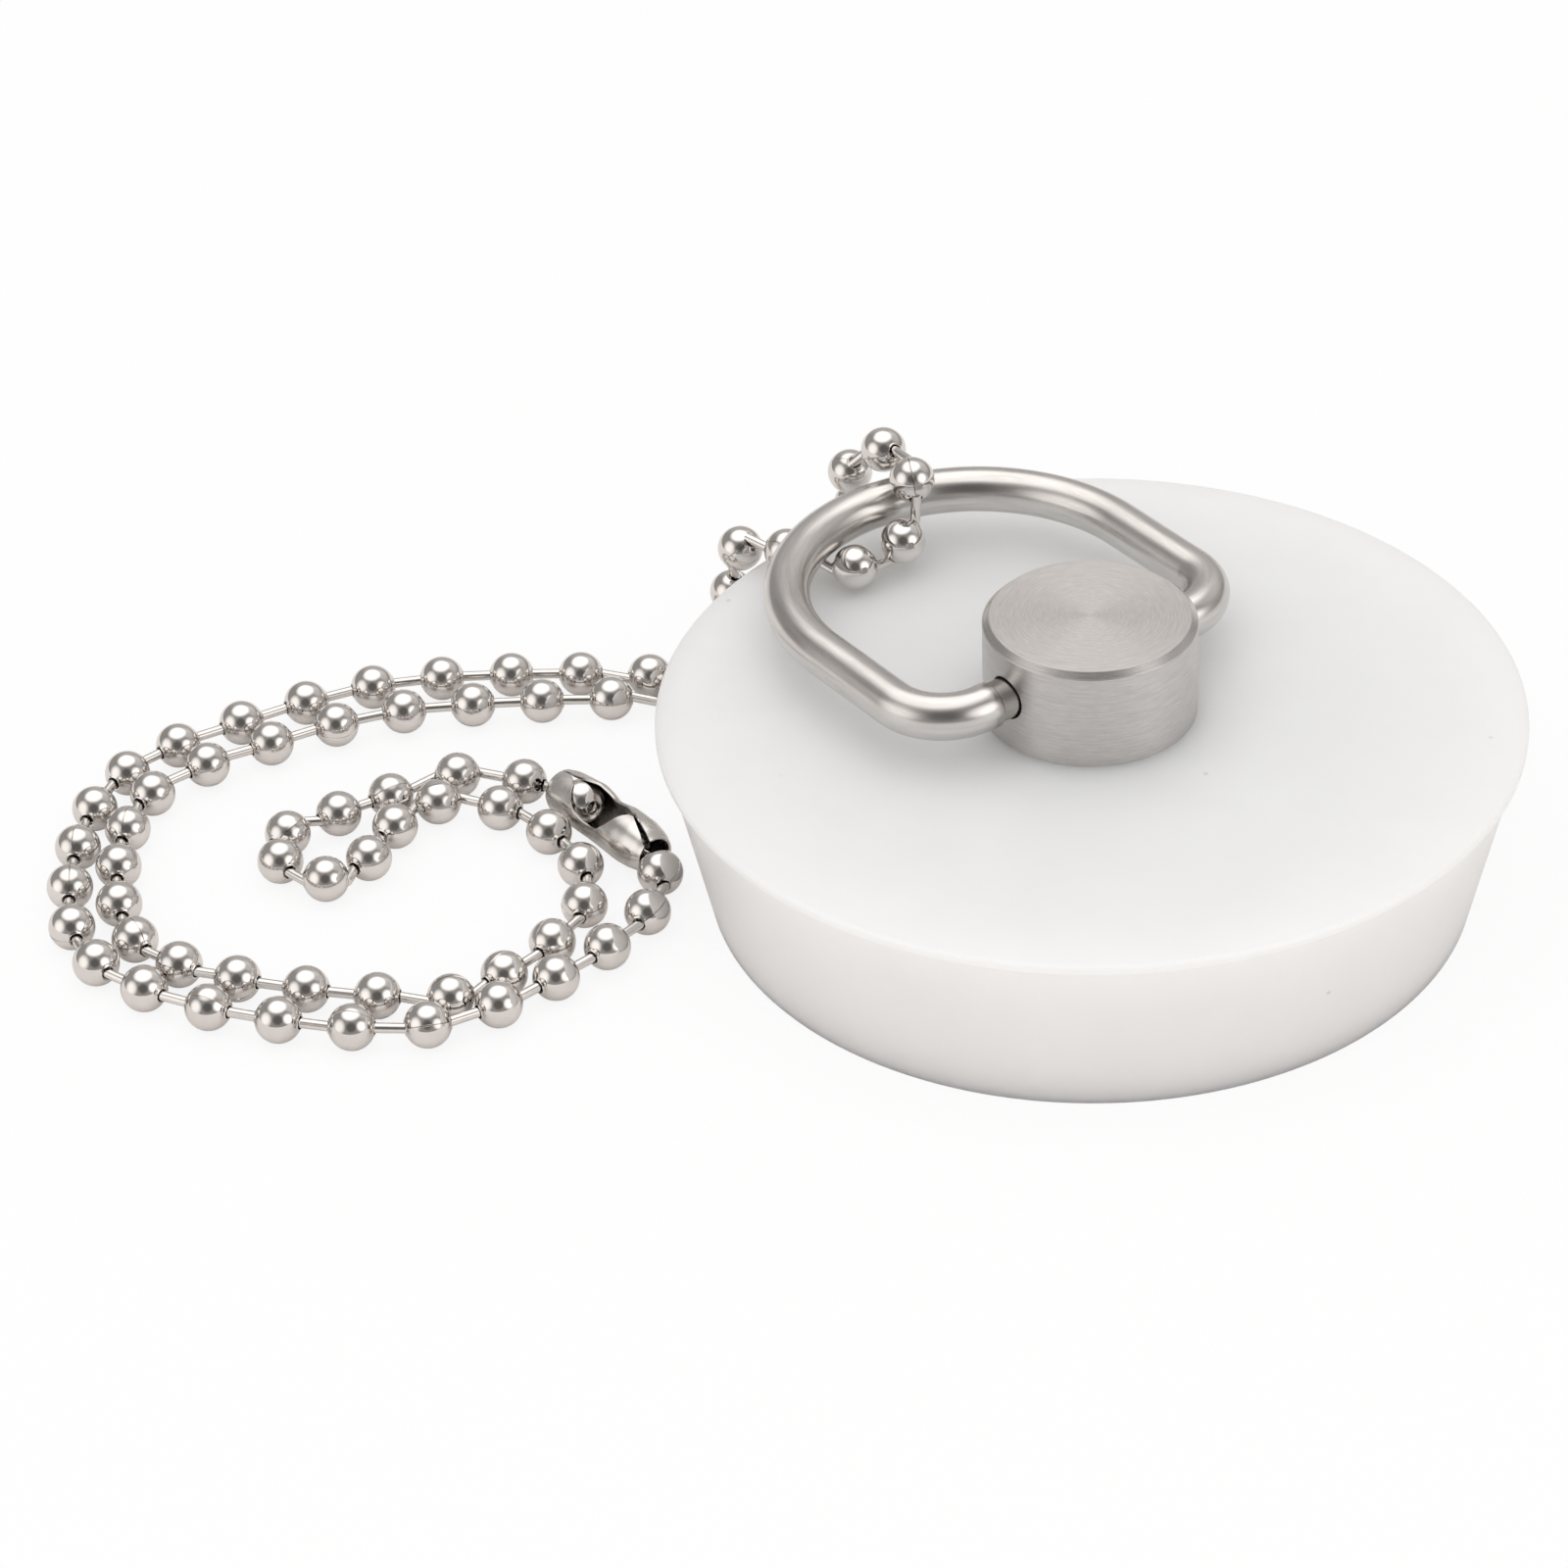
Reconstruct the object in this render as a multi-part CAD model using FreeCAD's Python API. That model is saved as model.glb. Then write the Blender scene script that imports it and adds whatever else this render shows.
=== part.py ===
"""Drain stopper: a tapered plug with a steel boss, a swinging wire bail and a doubled ball chain.

Millimetres. The origin is the middle of the plug's base, +Z is up, and the plug stands on Z = 0.
"""
import FreeCAD
import Part
import math
import os

Vec = FreeCAD.Vector
UP = Vec(0, 0, 1)

# Plug: a short cone that wedges into the drain.
PLUG_TOP_R = 23.0
PLUG_BASE_R = 20.5
PLUG_HEIGHT = 10.5
PLUG_EDGE_ROUND = 0.2
PLUG_LIP_HEIGHT = 0.45
PLUG_LIP_REACH = 0.4
PLUG_LIP_SLOPE = 0.3

# Boss: the turned steel button on the plug's top face.
BOSS_R = 5.65
BOSS_HEIGHT = 5.7
BOSS_CHAMFER = 0.36
PIVOT_HEIGHT = 2.9

# Fixing: a screw and a washer in a well under the plug, up into the boss.
SCREW_R = 2.0
SCREW_BITE = 4.0
SCREW_HEAD_R = 4.0
SCREW_HEAD_HEIGHT = 2.6
SCREW_HEAD_ROUND = 0.8
DRIVE_LENGTH = 4.0
DRIVE_WIDTH = 0.9
DRIVE_DEPTH = 1.3
WASHER_R = 4.6
WASHER_THICKNESS = 0.8
WELL_DEPTH = 4.2
WELL_CLEARANCE = 0.9
PASSAGE_CLEARANCE = 0.2
THREAD_CLEARANCE = 0.03
THREAD_RUN_OUT = 0.4

# Bail: round wire bent to a loop, its two thinner ends turning in the boss.
WIRE_R = 1.25
SPIGOT_R = 1.1
SPIGOT_LENGTH = 2.15
SPIGOT_END_GAP = 0.25
PIVOT_CLEARANCE = 0.1
SHOULDER_CHAMFER = 0.15
BAIL_SIDE_PLAY = 0.5
BAIL_SIDE_SHIFT = -0.4
BAIL_STRAIGHT = 0.75
BAIL_CORNER_R = 3.2
BAIL_LEG = 6.1
BAIL_TURN = 35.0

# Ball chain: hollow balls on short headed pins.
BEAD_R = 1.25
BEAD_WALL = 0.2
PIN_R = 0.275
PIN_HEAD_R = 0.4
PIN_HEAD_REACH = 0.57
PIN_HOLE_CLEARANCE = 0.085
OPEN_LINK_GAP = 0.2

# Clasp: a folded sheet tube with a lobe for each end ball of the chain.
CLASP_LOBE_R = 1.55
CLASP_WAIST_R = 1.2
CLASP_MOUTH_R = 1.1
CLASP_END = 2.2
CLASP_WALL = 0.22
CLASP_SLOT = 0.7
CLASP_WINDOW_LENGTH = 3.3
CLASP_WINDOW_WIDTH = 2.3

# Sizes that follow from the ones above.
PLUG_TOP = PLUG_HEIGHT
PIVOT_Z = PLUG_TOP + PIVOT_HEIGHT
SHOULDER = BOSS_R + BAIL_SIDE_PLAY
BAIL_HALF_WIDTH = SHOULDER + BAIL_STRAIGHT + BAIL_CORNER_R
PIVOT_HOLE_R = SPIGOT_R + PIVOT_CLEARANCE
PIVOT_HOLE_DEPTH = SPIGOT_LENGTH - BAIL_SIDE_PLAY - BAIL_SIDE_SHIFT + SPIGOT_END_GAP
PIN_HOLE_R = PIN_R + PIN_HOLE_CLEARANCE
LIE = BEAD_R
CLASP_LIE = CLASP_LOBE_R

# Balls that hold the chain round the bail, in the bail's own plane: along the hinge,
# out towards the crown, and above the wire's centre line.
SADDLE = [
    (-4.2, 20.7, -1.57),
    (-2.3, 17.0, -1.57),
    (0.7, 16.6, -0.9),
    (2.1, 17.5, 2.1),
    (2.8, 21.0, 2.1),
    (2.3, 23.5, -0.3),
]

# Route of the chain's inner strand, from the bail down to the table and round to the clasp.
INNER_ROUTE = [
    (-18.2, 16.1, 11.0), (-18.6, 17.3, 8.3), (-19.3, 17.8, 4.2), (-20.2, 16.7, LIE),
    (-24.4, 16.2, LIE), (-30.4, 16.3, LIE), (-38.6, 15.9, LIE), (-46.1, 12.6, LIE),
    (-51.8, 9.1, LIE), (-52.8, 1.2, LIE), (-51.1, -6.6, LIE), (-40.7, -10.4, LIE),
    (-31.5, -11.4, LIE), (-31.5, -8.6, LIE), (-26.9, -5.1, LIE), (-27.3, 2.0, LIE),
    (-33.9, 7.8, LIE), (-37.8, 5.1, LIE), (-39.9, -1.4, LIE), (-45.1, 2.7, LIE),
    (-43.3, 4.6, LIE), (-37.2, 7.9, LIE), (-33.9, 9.6, LIE), (-31.3, 9.0, LIE),
    (-27.4, 5.8, CLASP_LIE),
]

# Route of the outer strand, beside the inner one and round the outside to the clasp.
OUTER_ROUTE = [
    (-11.6, 22.3, 9.8), (-12.0, 24.2, 6.2), (-13.5, 25.6, 2.5), (-15.9, 25.1, LIE),
    (-19.4, 20.2, LIE), (-22.4, 18.0, LIE), (-28.3, 19.1, LIE), (-38.3, 19.0, LIE),
    (-45.4, 16.1, LIE), (-53.2, 11.4, LIE), (-55.2, 3.8, LIE), (-54.6, -5.9, LIE),
    (-48.0, -11.0, LIE), (-36.8, -14.1, LIE), (-30.6, -11.7, LIE), (-22.9, -4.3, LIE),
    (-23.3, 2.1, LIE), (-24.8, 2.2, CLASP_LIE),
]

# Number of balls in each stretch of the two strands, from the bail to the clasp.
INNER_COUNTS = {
    "inner_riser": 4,
    "inner_back_run": 7,
    "inner_left_bend": 6,
    "inner_front_run": 4,
    "inner_right_bend": 6,
    "inner_hook": 7,
    "inner_tail": 3,
}
OUTER_COUNTS = {
    "outer_riser": 5,
    "outer_back_run": 7,
    "outer_left_bend": 7,
    "outer_front_run": 5,
    "outer_right_bend": 5,
}

# How far apart the balls lie: drawn out where the chain runs straight, bunched where it bends.
PITCHES = {
    "inner_riser": 3.89,
    "inner_back_run": 3.91,
    "inner_left_bend": 3.49,
    "inner_front_run": 3.85,
    "inner_right_bend": 3.67,
    "inner_hook": 3.18,
    "inner_tail": 4.03,
    "outer_riser": 4.27,
    "outer_back_run": 3.96,
    "outer_left_bend": 3.67,
    "outer_front_run": 3.95,
    "outer_right_bend": 3.65,
}

# Points along a route when its length is measured.
ROUTE_STEPS = 4000


def save(name, solids):
    """Write one node, made of one solid or of several separate ones."""
    shape = solids[0] if len(solids) == 1 else Part.makeCompound(solids)
    shape.exportStep("parts/" + name + ".step")
    print(name, len(solids), "solid(s)")


def lathe(profile):
    """Turn a closed outline of (radius, height) points about the Z axis."""
    points = [Vec(radius, 0, height) for radius, height in profile]
    outline = Part.makePolygon(points + points[:1])
    return Part.Face(outline).revolve(Vec(0, 0, 0), UP, 360)


def make_plug():
    """Tapered plug with a thin lip, a screw passage and a well for the screw's head."""
    passage = SCREW_R + PASSAGE_CLEARANCE
    well = WASHER_R + WELL_CLEARANCE
    plug = lathe([
        (passage, WELL_DEPTH),
        (well, WELL_DEPTH),
        (well, 0),
        (PLUG_BASE_R, 0),
        (PLUG_TOP_R - PLUG_LIP_REACH, PLUG_TOP - PLUG_LIP_HEIGHT - PLUG_LIP_SLOPE),
        (PLUG_TOP_R, PLUG_TOP - PLUG_LIP_HEIGHT),
        (PLUG_TOP_R, PLUG_TOP),
        (passage, PLUG_TOP),
    ])
    rim = [
        edge for edge in plug.Edges
        if edge.Curve.TypeId == "Part::GeomCircle" and abs(edge.Curve.Radius - PLUG_TOP_R) < 1e-6
        and abs(edge.Curve.Center.z - PLUG_TOP) < 1e-6
    ]
    return plug.makeFillet(PLUG_EDGE_ROUND, rim)


def make_boss():
    """Turned button with a tapped hole below and two blind pivot holes in its side."""
    tapped = SCREW_R + THREAD_CLEARANCE
    top = PLUG_TOP + BOSS_HEIGHT
    boss = lathe([
        (0, PLUG_TOP + SCREW_BITE + THREAD_RUN_OUT),
        (tapped, PLUG_TOP + SCREW_BITE + THREAD_RUN_OUT),
        (tapped, PLUG_TOP),
        (BOSS_R, PLUG_TOP),
        (BOSS_R, top - BOSS_CHAMFER),
        (BOSS_R - BOSS_CHAMFER, top),
        (0, top),
    ])
    reach = PIVOT_HOLE_DEPTH + BOSS_R
    for side in (-1, 1):
        start = Vec(side * (BOSS_R - PIVOT_HOLE_DEPTH), 0, PIVOT_Z)
        hole = Part.makeCylinder(PIVOT_HOLE_R, reach, start, Vec(side, 0, 0))
        hole.rotate(Vec(0, 0, 0), UP, BAIL_TURN)
        boss = boss.cut(hole)
    return boss


def make_washer():
    """Flat washer against the roof of the well."""
    bore = SCREW_R + PASSAGE_CLEARANCE
    return lathe([
        (bore, WELL_DEPTH - WASHER_THICKNESS),
        (WASHER_R, WELL_DEPTH - WASHER_THICKNESS),
        (WASHER_R, WELL_DEPTH),
        (bore, WELL_DEPTH),
    ])


def make_screw():
    """Pan-head screw with a cross drive, its head under the washer."""
    seat = WELL_DEPTH - WASHER_THICKNESS
    under = seat - SCREW_HEAD_HEIGHT
    screw = lathe([
        (0, under),
        (SCREW_HEAD_R - SCREW_HEAD_ROUND, under),
        (SCREW_HEAD_R, under + SCREW_HEAD_ROUND),
        (SCREW_HEAD_R, seat),
        (SCREW_R, seat),
        (SCREW_R, PLUG_TOP + SCREW_BITE),
        (0, PLUG_TOP + SCREW_BITE),
    ])
    for length, width in ((DRIVE_LENGTH, DRIVE_WIDTH), (DRIVE_WIDTH, DRIVE_LENGTH)):
        corner = Vec(-length / 2, -width / 2, under)
        screw = screw.cut(Part.makeBox(length, width, DRIVE_DEPTH, corner))
    return screw


def bail_place(point):
    """Move a point from the bail's own plane to its place on the boss."""
    turn = math.radians(BAIL_TURN)
    along = point[0] + BAIL_SIDE_SHIFT
    return Vec(
        along * math.cos(turn) - point[1] * math.sin(turn),
        along * math.sin(turn) + point[1] * math.cos(turn),
        PIVOT_Z + point[2],
    )


def corner_arc(side):
    """Quarter bend between a spigot's shoulder and its leg."""
    centre = Vec(side * (BAIL_HALF_WIDTH - BAIL_CORNER_R), BAIL_CORNER_R, 0)
    slant = BAIL_CORNER_R * math.sqrt(0.5)
    return Part.Arc(
        centre + Vec(0, -BAIL_CORNER_R, 0),
        centre + Vec(side * slant, -slant, 0),
        centre + Vec(side * BAIL_CORNER_R, 0, 0),
    ).toShape()


def make_bail():
    """Bent wire loop with a thinner spigot at each end."""
    start = SHOULDER + SHOULDER_CHAMFER
    leg_top = BAIL_CORNER_R + BAIL_LEG
    left, right = -BAIL_HALF_WIDTH, BAIL_HALF_WIDTH
    path = Part.Wire([
        Part.makeLine(Vec(-start, 0, 0), Vec(left + BAIL_CORNER_R, 0, 0)),
        corner_arc(-1),
        Part.makeLine(Vec(left, BAIL_CORNER_R, 0), Vec(left, leg_top, 0)),
        Part.Arc(
            Vec(left, leg_top, 0), Vec(0, leg_top + BAIL_HALF_WIDTH, 0), Vec(right, leg_top, 0)
        ).toShape(),
        Part.makeLine(Vec(right, leg_top, 0), Vec(right, BAIL_CORNER_R, 0)),
        corner_arc(1),
        Part.makeLine(Vec(right - BAIL_CORNER_R, 0, 0), Vec(start, 0, 0)),
    ])
    ring = Part.Wire([Part.makeCircle(WIRE_R, Vec(-start, 0, 0), Vec(-1, 0, 0))])
    bail = path.makePipeShell([ring], True, False)
    for side in (-1, 1):
        outward = Vec(side, 0, 0)
        collar = Part.makeCone(
            WIRE_R - SHOULDER_CHAMFER / 2, WIRE_R, SHOULDER_CHAMFER, outward * SHOULDER, outward
        )
        spigot = Part.makeCylinder(
            SPIGOT_R, SPIGOT_LENGTH, outward * (SHOULDER - SPIGOT_LENGTH), outward
        )
        bail = bail.fuse([collar, spigot])
    bail = bail.removeSplitter()
    bail.translate(Vec(BAIL_SIDE_SHIFT, 0, PIVOT_Z))
    bail.rotate(Vec(0, 0, 0), UP, BAIL_TURN)
    return bail.Solids[0]


def smooth_route(points):
    """Even quadratic curve that a cord takes between its chosen points."""
    poles = [Vec(*point) for point in points]
    inner = len(poles) - 3
    knots = [step / (inner + 1) for step in range(inner + 2)]
    counts = [3] + [1] * inner + [3]
    curve = Part.BSplineCurve()
    curve.buildFromPolesMultsKnots(poles, counts, knots, False, 2)
    return curve


def balls_along(route, counts):
    """Ball centres along a route, each stretch at its own pitch, ending on the last point."""
    curve = smooth_route(route)
    pitches = [PITCHES[name] for name, count in counts.items() for _ in range(count)]
    scale = curve.length() / sum(pitches)
    marks = [0.0]
    for pitch in pitches:
        marks.append(marks[-1] + pitch * scale)
    points = curve.discretize(ROUTE_STEPS)
    centres = []
    travelled = 0.0
    for here, there in zip(points, points[1:]):
        step = (there - here).Length
        while len(centres) < len(marks) - 1 and marks[len(centres)] <= travelled + step:
            share = (marks[len(centres)] - travelled) / step
            centres.append(here + (there - here) * share)
        travelled += step
    centres.append(points[-1])
    return centres


def make_ball(centre, neighbours):
    """Hollow ball with a pin hole towards each neighbour."""
    ball = Part.makeSphere(BEAD_R, centre).cut(Part.makeSphere(BEAD_R - BEAD_WALL, centre))
    for other in neighbours:
        way = (other - centre).normalize()
        ball = ball.cut(Part.makeCylinder(PIN_HOLE_R, 2 * BEAD_R, centre, way))
    return ball.Solids[0]


def pin_outline(length, open_start):
    """Half outline of a pin along Z: a rod with a ball head at its end, or at both ends."""
    neck = math.sqrt(PIN_HEAD_R ** 2 - PIN_R ** 2)
    tip = Vec(0, 0, length + PIN_HEAD_R)
    end_head = Part.Arc(Vec(PIN_R, 0, length - neck), Vec(PIN_HEAD_R, 0, length), tip).toShape()
    if open_start:
        foot = Vec(0, 0, 0)
        start = [Part.makeLine(foot, Vec(PIN_R, 0, 0))]
        rod_start = 0
    else:
        foot = Vec(0, 0, -PIN_HEAD_R)
        start = [Part.Arc(foot, Vec(PIN_HEAD_R, 0, 0), Vec(PIN_R, 0, neck)).toShape()]
        rod_start = neck
    rod = Part.makeLine(Vec(PIN_R, 0, rod_start), Vec(PIN_R, 0, length - neck))
    return Part.Wire(start + [rod, end_head, Part.makeLine(tip, foot)])


def make_pin(start, end, open_start=False):
    """Pin between two balls, headed inside both, or cut short of an open link's first ball."""
    way = (end - start).normalize()
    far = end - way * PIN_HEAD_REACH
    near = start + way * (BEAD_R + OPEN_LINK_GAP if open_start else PIN_HEAD_REACH)
    outline = pin_outline((far - near).Length, open_start)
    pin = Part.Face(outline).revolve(Vec(0, 0, 0), UP, 360)
    pin.Placement = FreeCAD.Placement(near, FreeCAD.Rotation(UP, way))
    return pin


def save_strand(centres, counts, saddle_end):
    """Write the balls and pins of one strand, stretch by stretch."""
    first = 0
    for name, count in counts.items():
        balls = []
        pins = []
        for index in range(first, first + count):
            before = centres[index - 1] if index else saddle_end
            balls.append(make_ball(centres[index], [before, centres[index + 1]]))
            if index == 0:
                pins.append(make_pin(saddle_end, centres[0], open_start=True))
            pins.append(make_pin(centres[index], centres[index + 1]))
        save(name + "_balls", balls)
        save(name + "_pins", pins)
        first += count


def clasp_profile(half, thinner):
    """Smooth outline of the clasp's tube along its own length."""
    stations = [
        (-half - CLASP_END, CLASP_MOUTH_R),
        (-half, CLASP_LOBE_R),
        (0, CLASP_WAIST_R),
        (half, CLASP_LOBE_R),
        (half + CLASP_END, CLASP_MOUTH_R),
    ]
    line = Part.BSplineCurve()
    line.interpolate([Vec(radius - thinner, 0, along) for along, radius in stations])
    return line.toShape()


def clasp_tube(half, thinner):
    """Solid turned from the clasp's outline."""
    end = half + CLASP_END
    side = clasp_profile(half, thinner)
    bottom = Vec(CLASP_MOUTH_R - thinner, 0, -end)
    top = Vec(CLASP_MOUTH_R - thinner, 0, end)
    outline = Part.Wire([
        side,
        Part.makeLine(top, Vec(0, 0, end)),
        Part.makeLine(Vec(0, 0, end), Vec(0, 0, -end)),
        Part.makeLine(Vec(0, 0, -end), bottom),
    ])
    return Part.Face(outline).revolve(Vec(0, 0, 0), UP, 360)


def make_clasp(first, last):
    """Folded clasp between the chain's two end balls, slotted along its top."""
    half = (last - first).Length / 2
    clasp = clasp_tube(half, 0).cut(clasp_tube(half, CLASP_WALL))
    rise = 2 * CLASP_LOBE_R
    slot = Part.makeBox(
        rise, CLASP_SLOT, 2 * half + CLASP_END + rise, Vec(0, -CLASP_SLOT / 2, -half)
    )
    window = Part.makeBox(
        rise, CLASP_WINDOW_WIDTH, CLASP_WINDOW_LENGTH,
        Vec(0, -CLASP_WINDOW_WIDTH / 2, -half - CLASP_WINDOW_LENGTH / 2 + CLASP_WALL),
    )
    window = window.makeFillet(CLASP_WINDOW_WIDTH / 3, [
        edge for edge in window.Edges if abs(edge.tangentAt(edge.FirstParameter).x) > 0.9
    ])
    clasp = clasp.cut([slot, window]).Solids[0]
    way = (last - first).normalize()
    across = way.cross(UP)
    middle = (first + last) * 0.5
    clasp.Placement = FreeCAD.Placement(middle, FreeCAD.Rotation(UP, across, way, "XZY"))
    return clasp


def report_spacing(centres):
    """Print the least distance between any two ball centres."""
    least = min(
        (one - other).Length for index, one in enumerate(centres) for other in centres[:index]
    )
    print("least distance between ball centres", round(least, 2))


def main():
    """Build every piece and write it."""
    os.makedirs("parts", exist_ok=True)
    save("plug_body", [make_plug()])
    save("boss", [make_boss()])
    save("flat_washer", [make_washer()])
    save("fixing_screw", [make_screw()])
    save("bail", [make_bail()])

    saddle = [bail_place(point) for point in SADDLE]
    inner = balls_along(INNER_ROUTE, INNER_COUNTS)
    outer = balls_along(OUTER_ROUTE, OUTER_COUNTS)
    held = [inner[0]] + saddle + [outer[0]]
    save("saddle_balls", [
        make_ball(held[index], [held[index - 1], held[index + 1]]) for index in range(1, len(held) - 1)
    ])
    save("saddle_pins", [make_pin(one, other) for one, other in zip(saddle, saddle[1:])])
    save_strand(inner, INNER_COUNTS, saddle[0])
    save_strand(outer, OUTER_COUNTS, saddle[-1])
    save("clasp_end_balls", [
        make_ball(line[-1], [line[-2], line[-1] * 2 - line[-2]]) for line in (inner, outer)
    ])
    save("chain_clasp", [make_clasp(inner[-1], outer[-1])])
    report_spacing(inner + saddle + outer)


main()
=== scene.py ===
"""Looks of the drain stopper: silicone plug, turned boss, wire bail, ball chain and clasp."""
import logging
import math
from dataclasses import dataclass, field
from enum import Enum

import bmesh
import bpy
import numpy as np
from mathutils import Matrix, Vector


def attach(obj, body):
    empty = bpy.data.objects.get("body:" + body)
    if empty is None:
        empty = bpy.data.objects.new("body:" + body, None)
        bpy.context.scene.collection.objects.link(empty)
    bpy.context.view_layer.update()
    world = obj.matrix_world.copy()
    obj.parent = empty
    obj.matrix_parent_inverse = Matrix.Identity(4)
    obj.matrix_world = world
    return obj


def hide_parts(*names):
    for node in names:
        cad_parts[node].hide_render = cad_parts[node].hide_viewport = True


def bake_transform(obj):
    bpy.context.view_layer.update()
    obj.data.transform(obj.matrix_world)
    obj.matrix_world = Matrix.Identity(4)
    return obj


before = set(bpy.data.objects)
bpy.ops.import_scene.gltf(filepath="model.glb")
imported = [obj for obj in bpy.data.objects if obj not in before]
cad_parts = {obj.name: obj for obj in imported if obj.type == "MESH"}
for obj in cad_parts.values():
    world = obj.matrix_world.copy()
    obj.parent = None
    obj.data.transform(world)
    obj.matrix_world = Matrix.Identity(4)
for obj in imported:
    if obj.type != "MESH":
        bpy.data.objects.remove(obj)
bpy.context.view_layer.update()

MM = 0.001
LOG = logging.getLogger("drain_stopper")

Point = tuple[float, float, float]
Colour = tuple[float, float, float, float]
Outline = list[tuple[float, float]]


class Body(Enum):
    """Bodies that move against each other."""

    STOPPER = "stopper"
    BAIL = "bail"


class Side(Enum):
    """The two ends of the bail along its hinge."""

    LEFT = -1
    RIGHT = 1


class Shader:
    """A procedural material that is put together node by node."""

    def __init__(self, name: str) -> None:
        """Start a material with a plain Principled surface."""
        self.material = bpy.data.materials.new(name)
        self.material.use_nodes = True
        self.nodes = self.material.node_tree.nodes
        self.links = self.material.node_tree.links
        self.surface = self.nodes["Principled BSDF"]

    def set(self, **values: object) -> None:
        """Set sockets of the surface; a word's underscores stand for spaces."""
        for name, value in values.items():
            self.surface.inputs[name.replace("_", " ")].default_value = value

    def add(self, kind: str, **values: object) -> bpy.types.Node:
        """Add a node.

        Args:
            kind: Blender's type name of the node.
            values: Node properties, or socket values by name with underscores for spaces.

        Returns:
            The new node.
        """
        node = self.nodes.new(kind)
        for name, value in values.items():
            if hasattr(node, name):
                setattr(node, name, value)
            else:
                node.inputs[name.replace("_", " ")].default_value = value
        return node

    def link(self, source: bpy.types.NodeSocket, target: bpy.types.NodeSocket) -> None:
        """Join an output to an input."""
        self.links.new(source, target)

    def place(self, scale: Point) -> bpy.types.NodeSocket:
        """Object coordinates, stretched by a scale along each axis."""
        coordinates = self.add("ShaderNodeTexCoord")
        mapping = self.add("ShaderNodeMapping", Scale=scale)
        self.link(coordinates.outputs["Object"], mapping.inputs["Vector"])
        return mapping.outputs["Vector"]

    def noise(self, vector: bpy.types.NodeSocket, detail: float, roughness: float) -> bpy.types.NodeSocket:
        """Cloudy pattern of about one feature per unit of the vector."""
        texture = self.add("ShaderNodeTexNoise", Scale=1.0, Detail=detail, Roughness=roughness)
        self.link(vector, texture.inputs["Vector"])
        return texture.outputs["Fac"]

    def spread(self, source: bpy.types.NodeSocket, low: float, high: float) -> bpy.types.NodeSocket:
        """Stretch the middle of a pattern to run from low to high."""
        ramp = self.add("ShaderNodeMapRange", From_Min=0.3, From_Max=0.7, To_Min=low, To_Max=high)
        self.link(source, ramp.inputs["Value"])
        return ramp.outputs["Result"]

    def tint(self, source: bpy.types.NodeSocket, dark: Colour, light: Colour) -> None:
        """Colour the surface between two shades by a pattern."""
        mix = self.add("ShaderNodeMix", data_type="RGBA")
        self.link(source, mix.inputs["Factor"])
        mix.inputs[6].default_value = dark
        mix.inputs[7].default_value = light
        self.link(mix.outputs[2], self.surface.inputs["Base Color"])

    def bump(self, source: bpy.types.NodeSocket, height: float, strength: float) -> bpy.types.Node:
        """Raise and lower the surface by a pattern, in metres, and give the node that does it."""
        node = self.add("ShaderNodeBump", Strength=strength, Distance=height)
        self.link(source, node.inputs["Height"])
        self.link(node.outputs["Normal"], self.surface.inputs["Normal"])
        return node


@dataclass(frozen=True)
class SiliconeFinish:
    """Soft white silicone that lets some light through, with a satin skin and fine specks."""

    light: Colour = (0.80, 0.80, 0.798, 1.0)
    dark: Colour = (0.782, 0.781, 0.777, 1.0)
    speck: Colour = (0.5, 0.49, 0.47, 1.0)
    roughness: float = 0.4
    scatter: float = 7.0 * MM
    mottle: float = 200.0
    specks_per_metre: float = 190.0
    speck_size: float = 0.02

    def material(self) -> bpy.types.Material:
        """The finish as a material."""
        shader = Shader("white_silicone")
        shader.set(
            Roughness=self.roughness, IOR=1.41, Subsurface_Weight=0.8,
            Subsurface_Radius=(1.0, 0.97, 0.92), Subsurface_Scale=self.scatter,
        )
        cloud = shader.noise(shader.place((self.mottle,) * 3), 4.0, 0.6)
        mix = shader.add("ShaderNodeMix", data_type="RGBA")
        shader.link(shader.spread(cloud, 0.0, 1.0), mix.inputs["Factor"])
        mix.inputs[6].default_value = self.dark
        mix.inputs[7].default_value = self.light
        cells = shader.add("ShaderNodeTexVoronoi", Scale=1.0, Randomness=1.0)
        shader.link(shader.place((self.specks_per_metre,) * 3), cells.inputs["Vector"])
        dots = shader.add(
            "ShaderNodeMapRange", From_Min=self.speck_size, From_Max=self.speck_size * 2,
            To_Min=0.6, To_Max=0.0,
        )
        shader.link(cells.outputs["Distance"], dots.inputs["Value"])
        specked = shader.add("ShaderNodeMix", data_type="RGBA")
        shader.link(dots.outputs["Result"], specked.inputs["Factor"])
        shader.link(mix.outputs[2], specked.inputs[6])
        specked.inputs[7].default_value = self.speck
        shader.link(specked.outputs[2], shader.surface.inputs["Base Color"])
        skin = shader.noise(shader.place((2600.0,) * 3), 3.0, 0.6)
        shader.bump(skin, 0.004 * MM, 0.35)
        return shader.material


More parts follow.
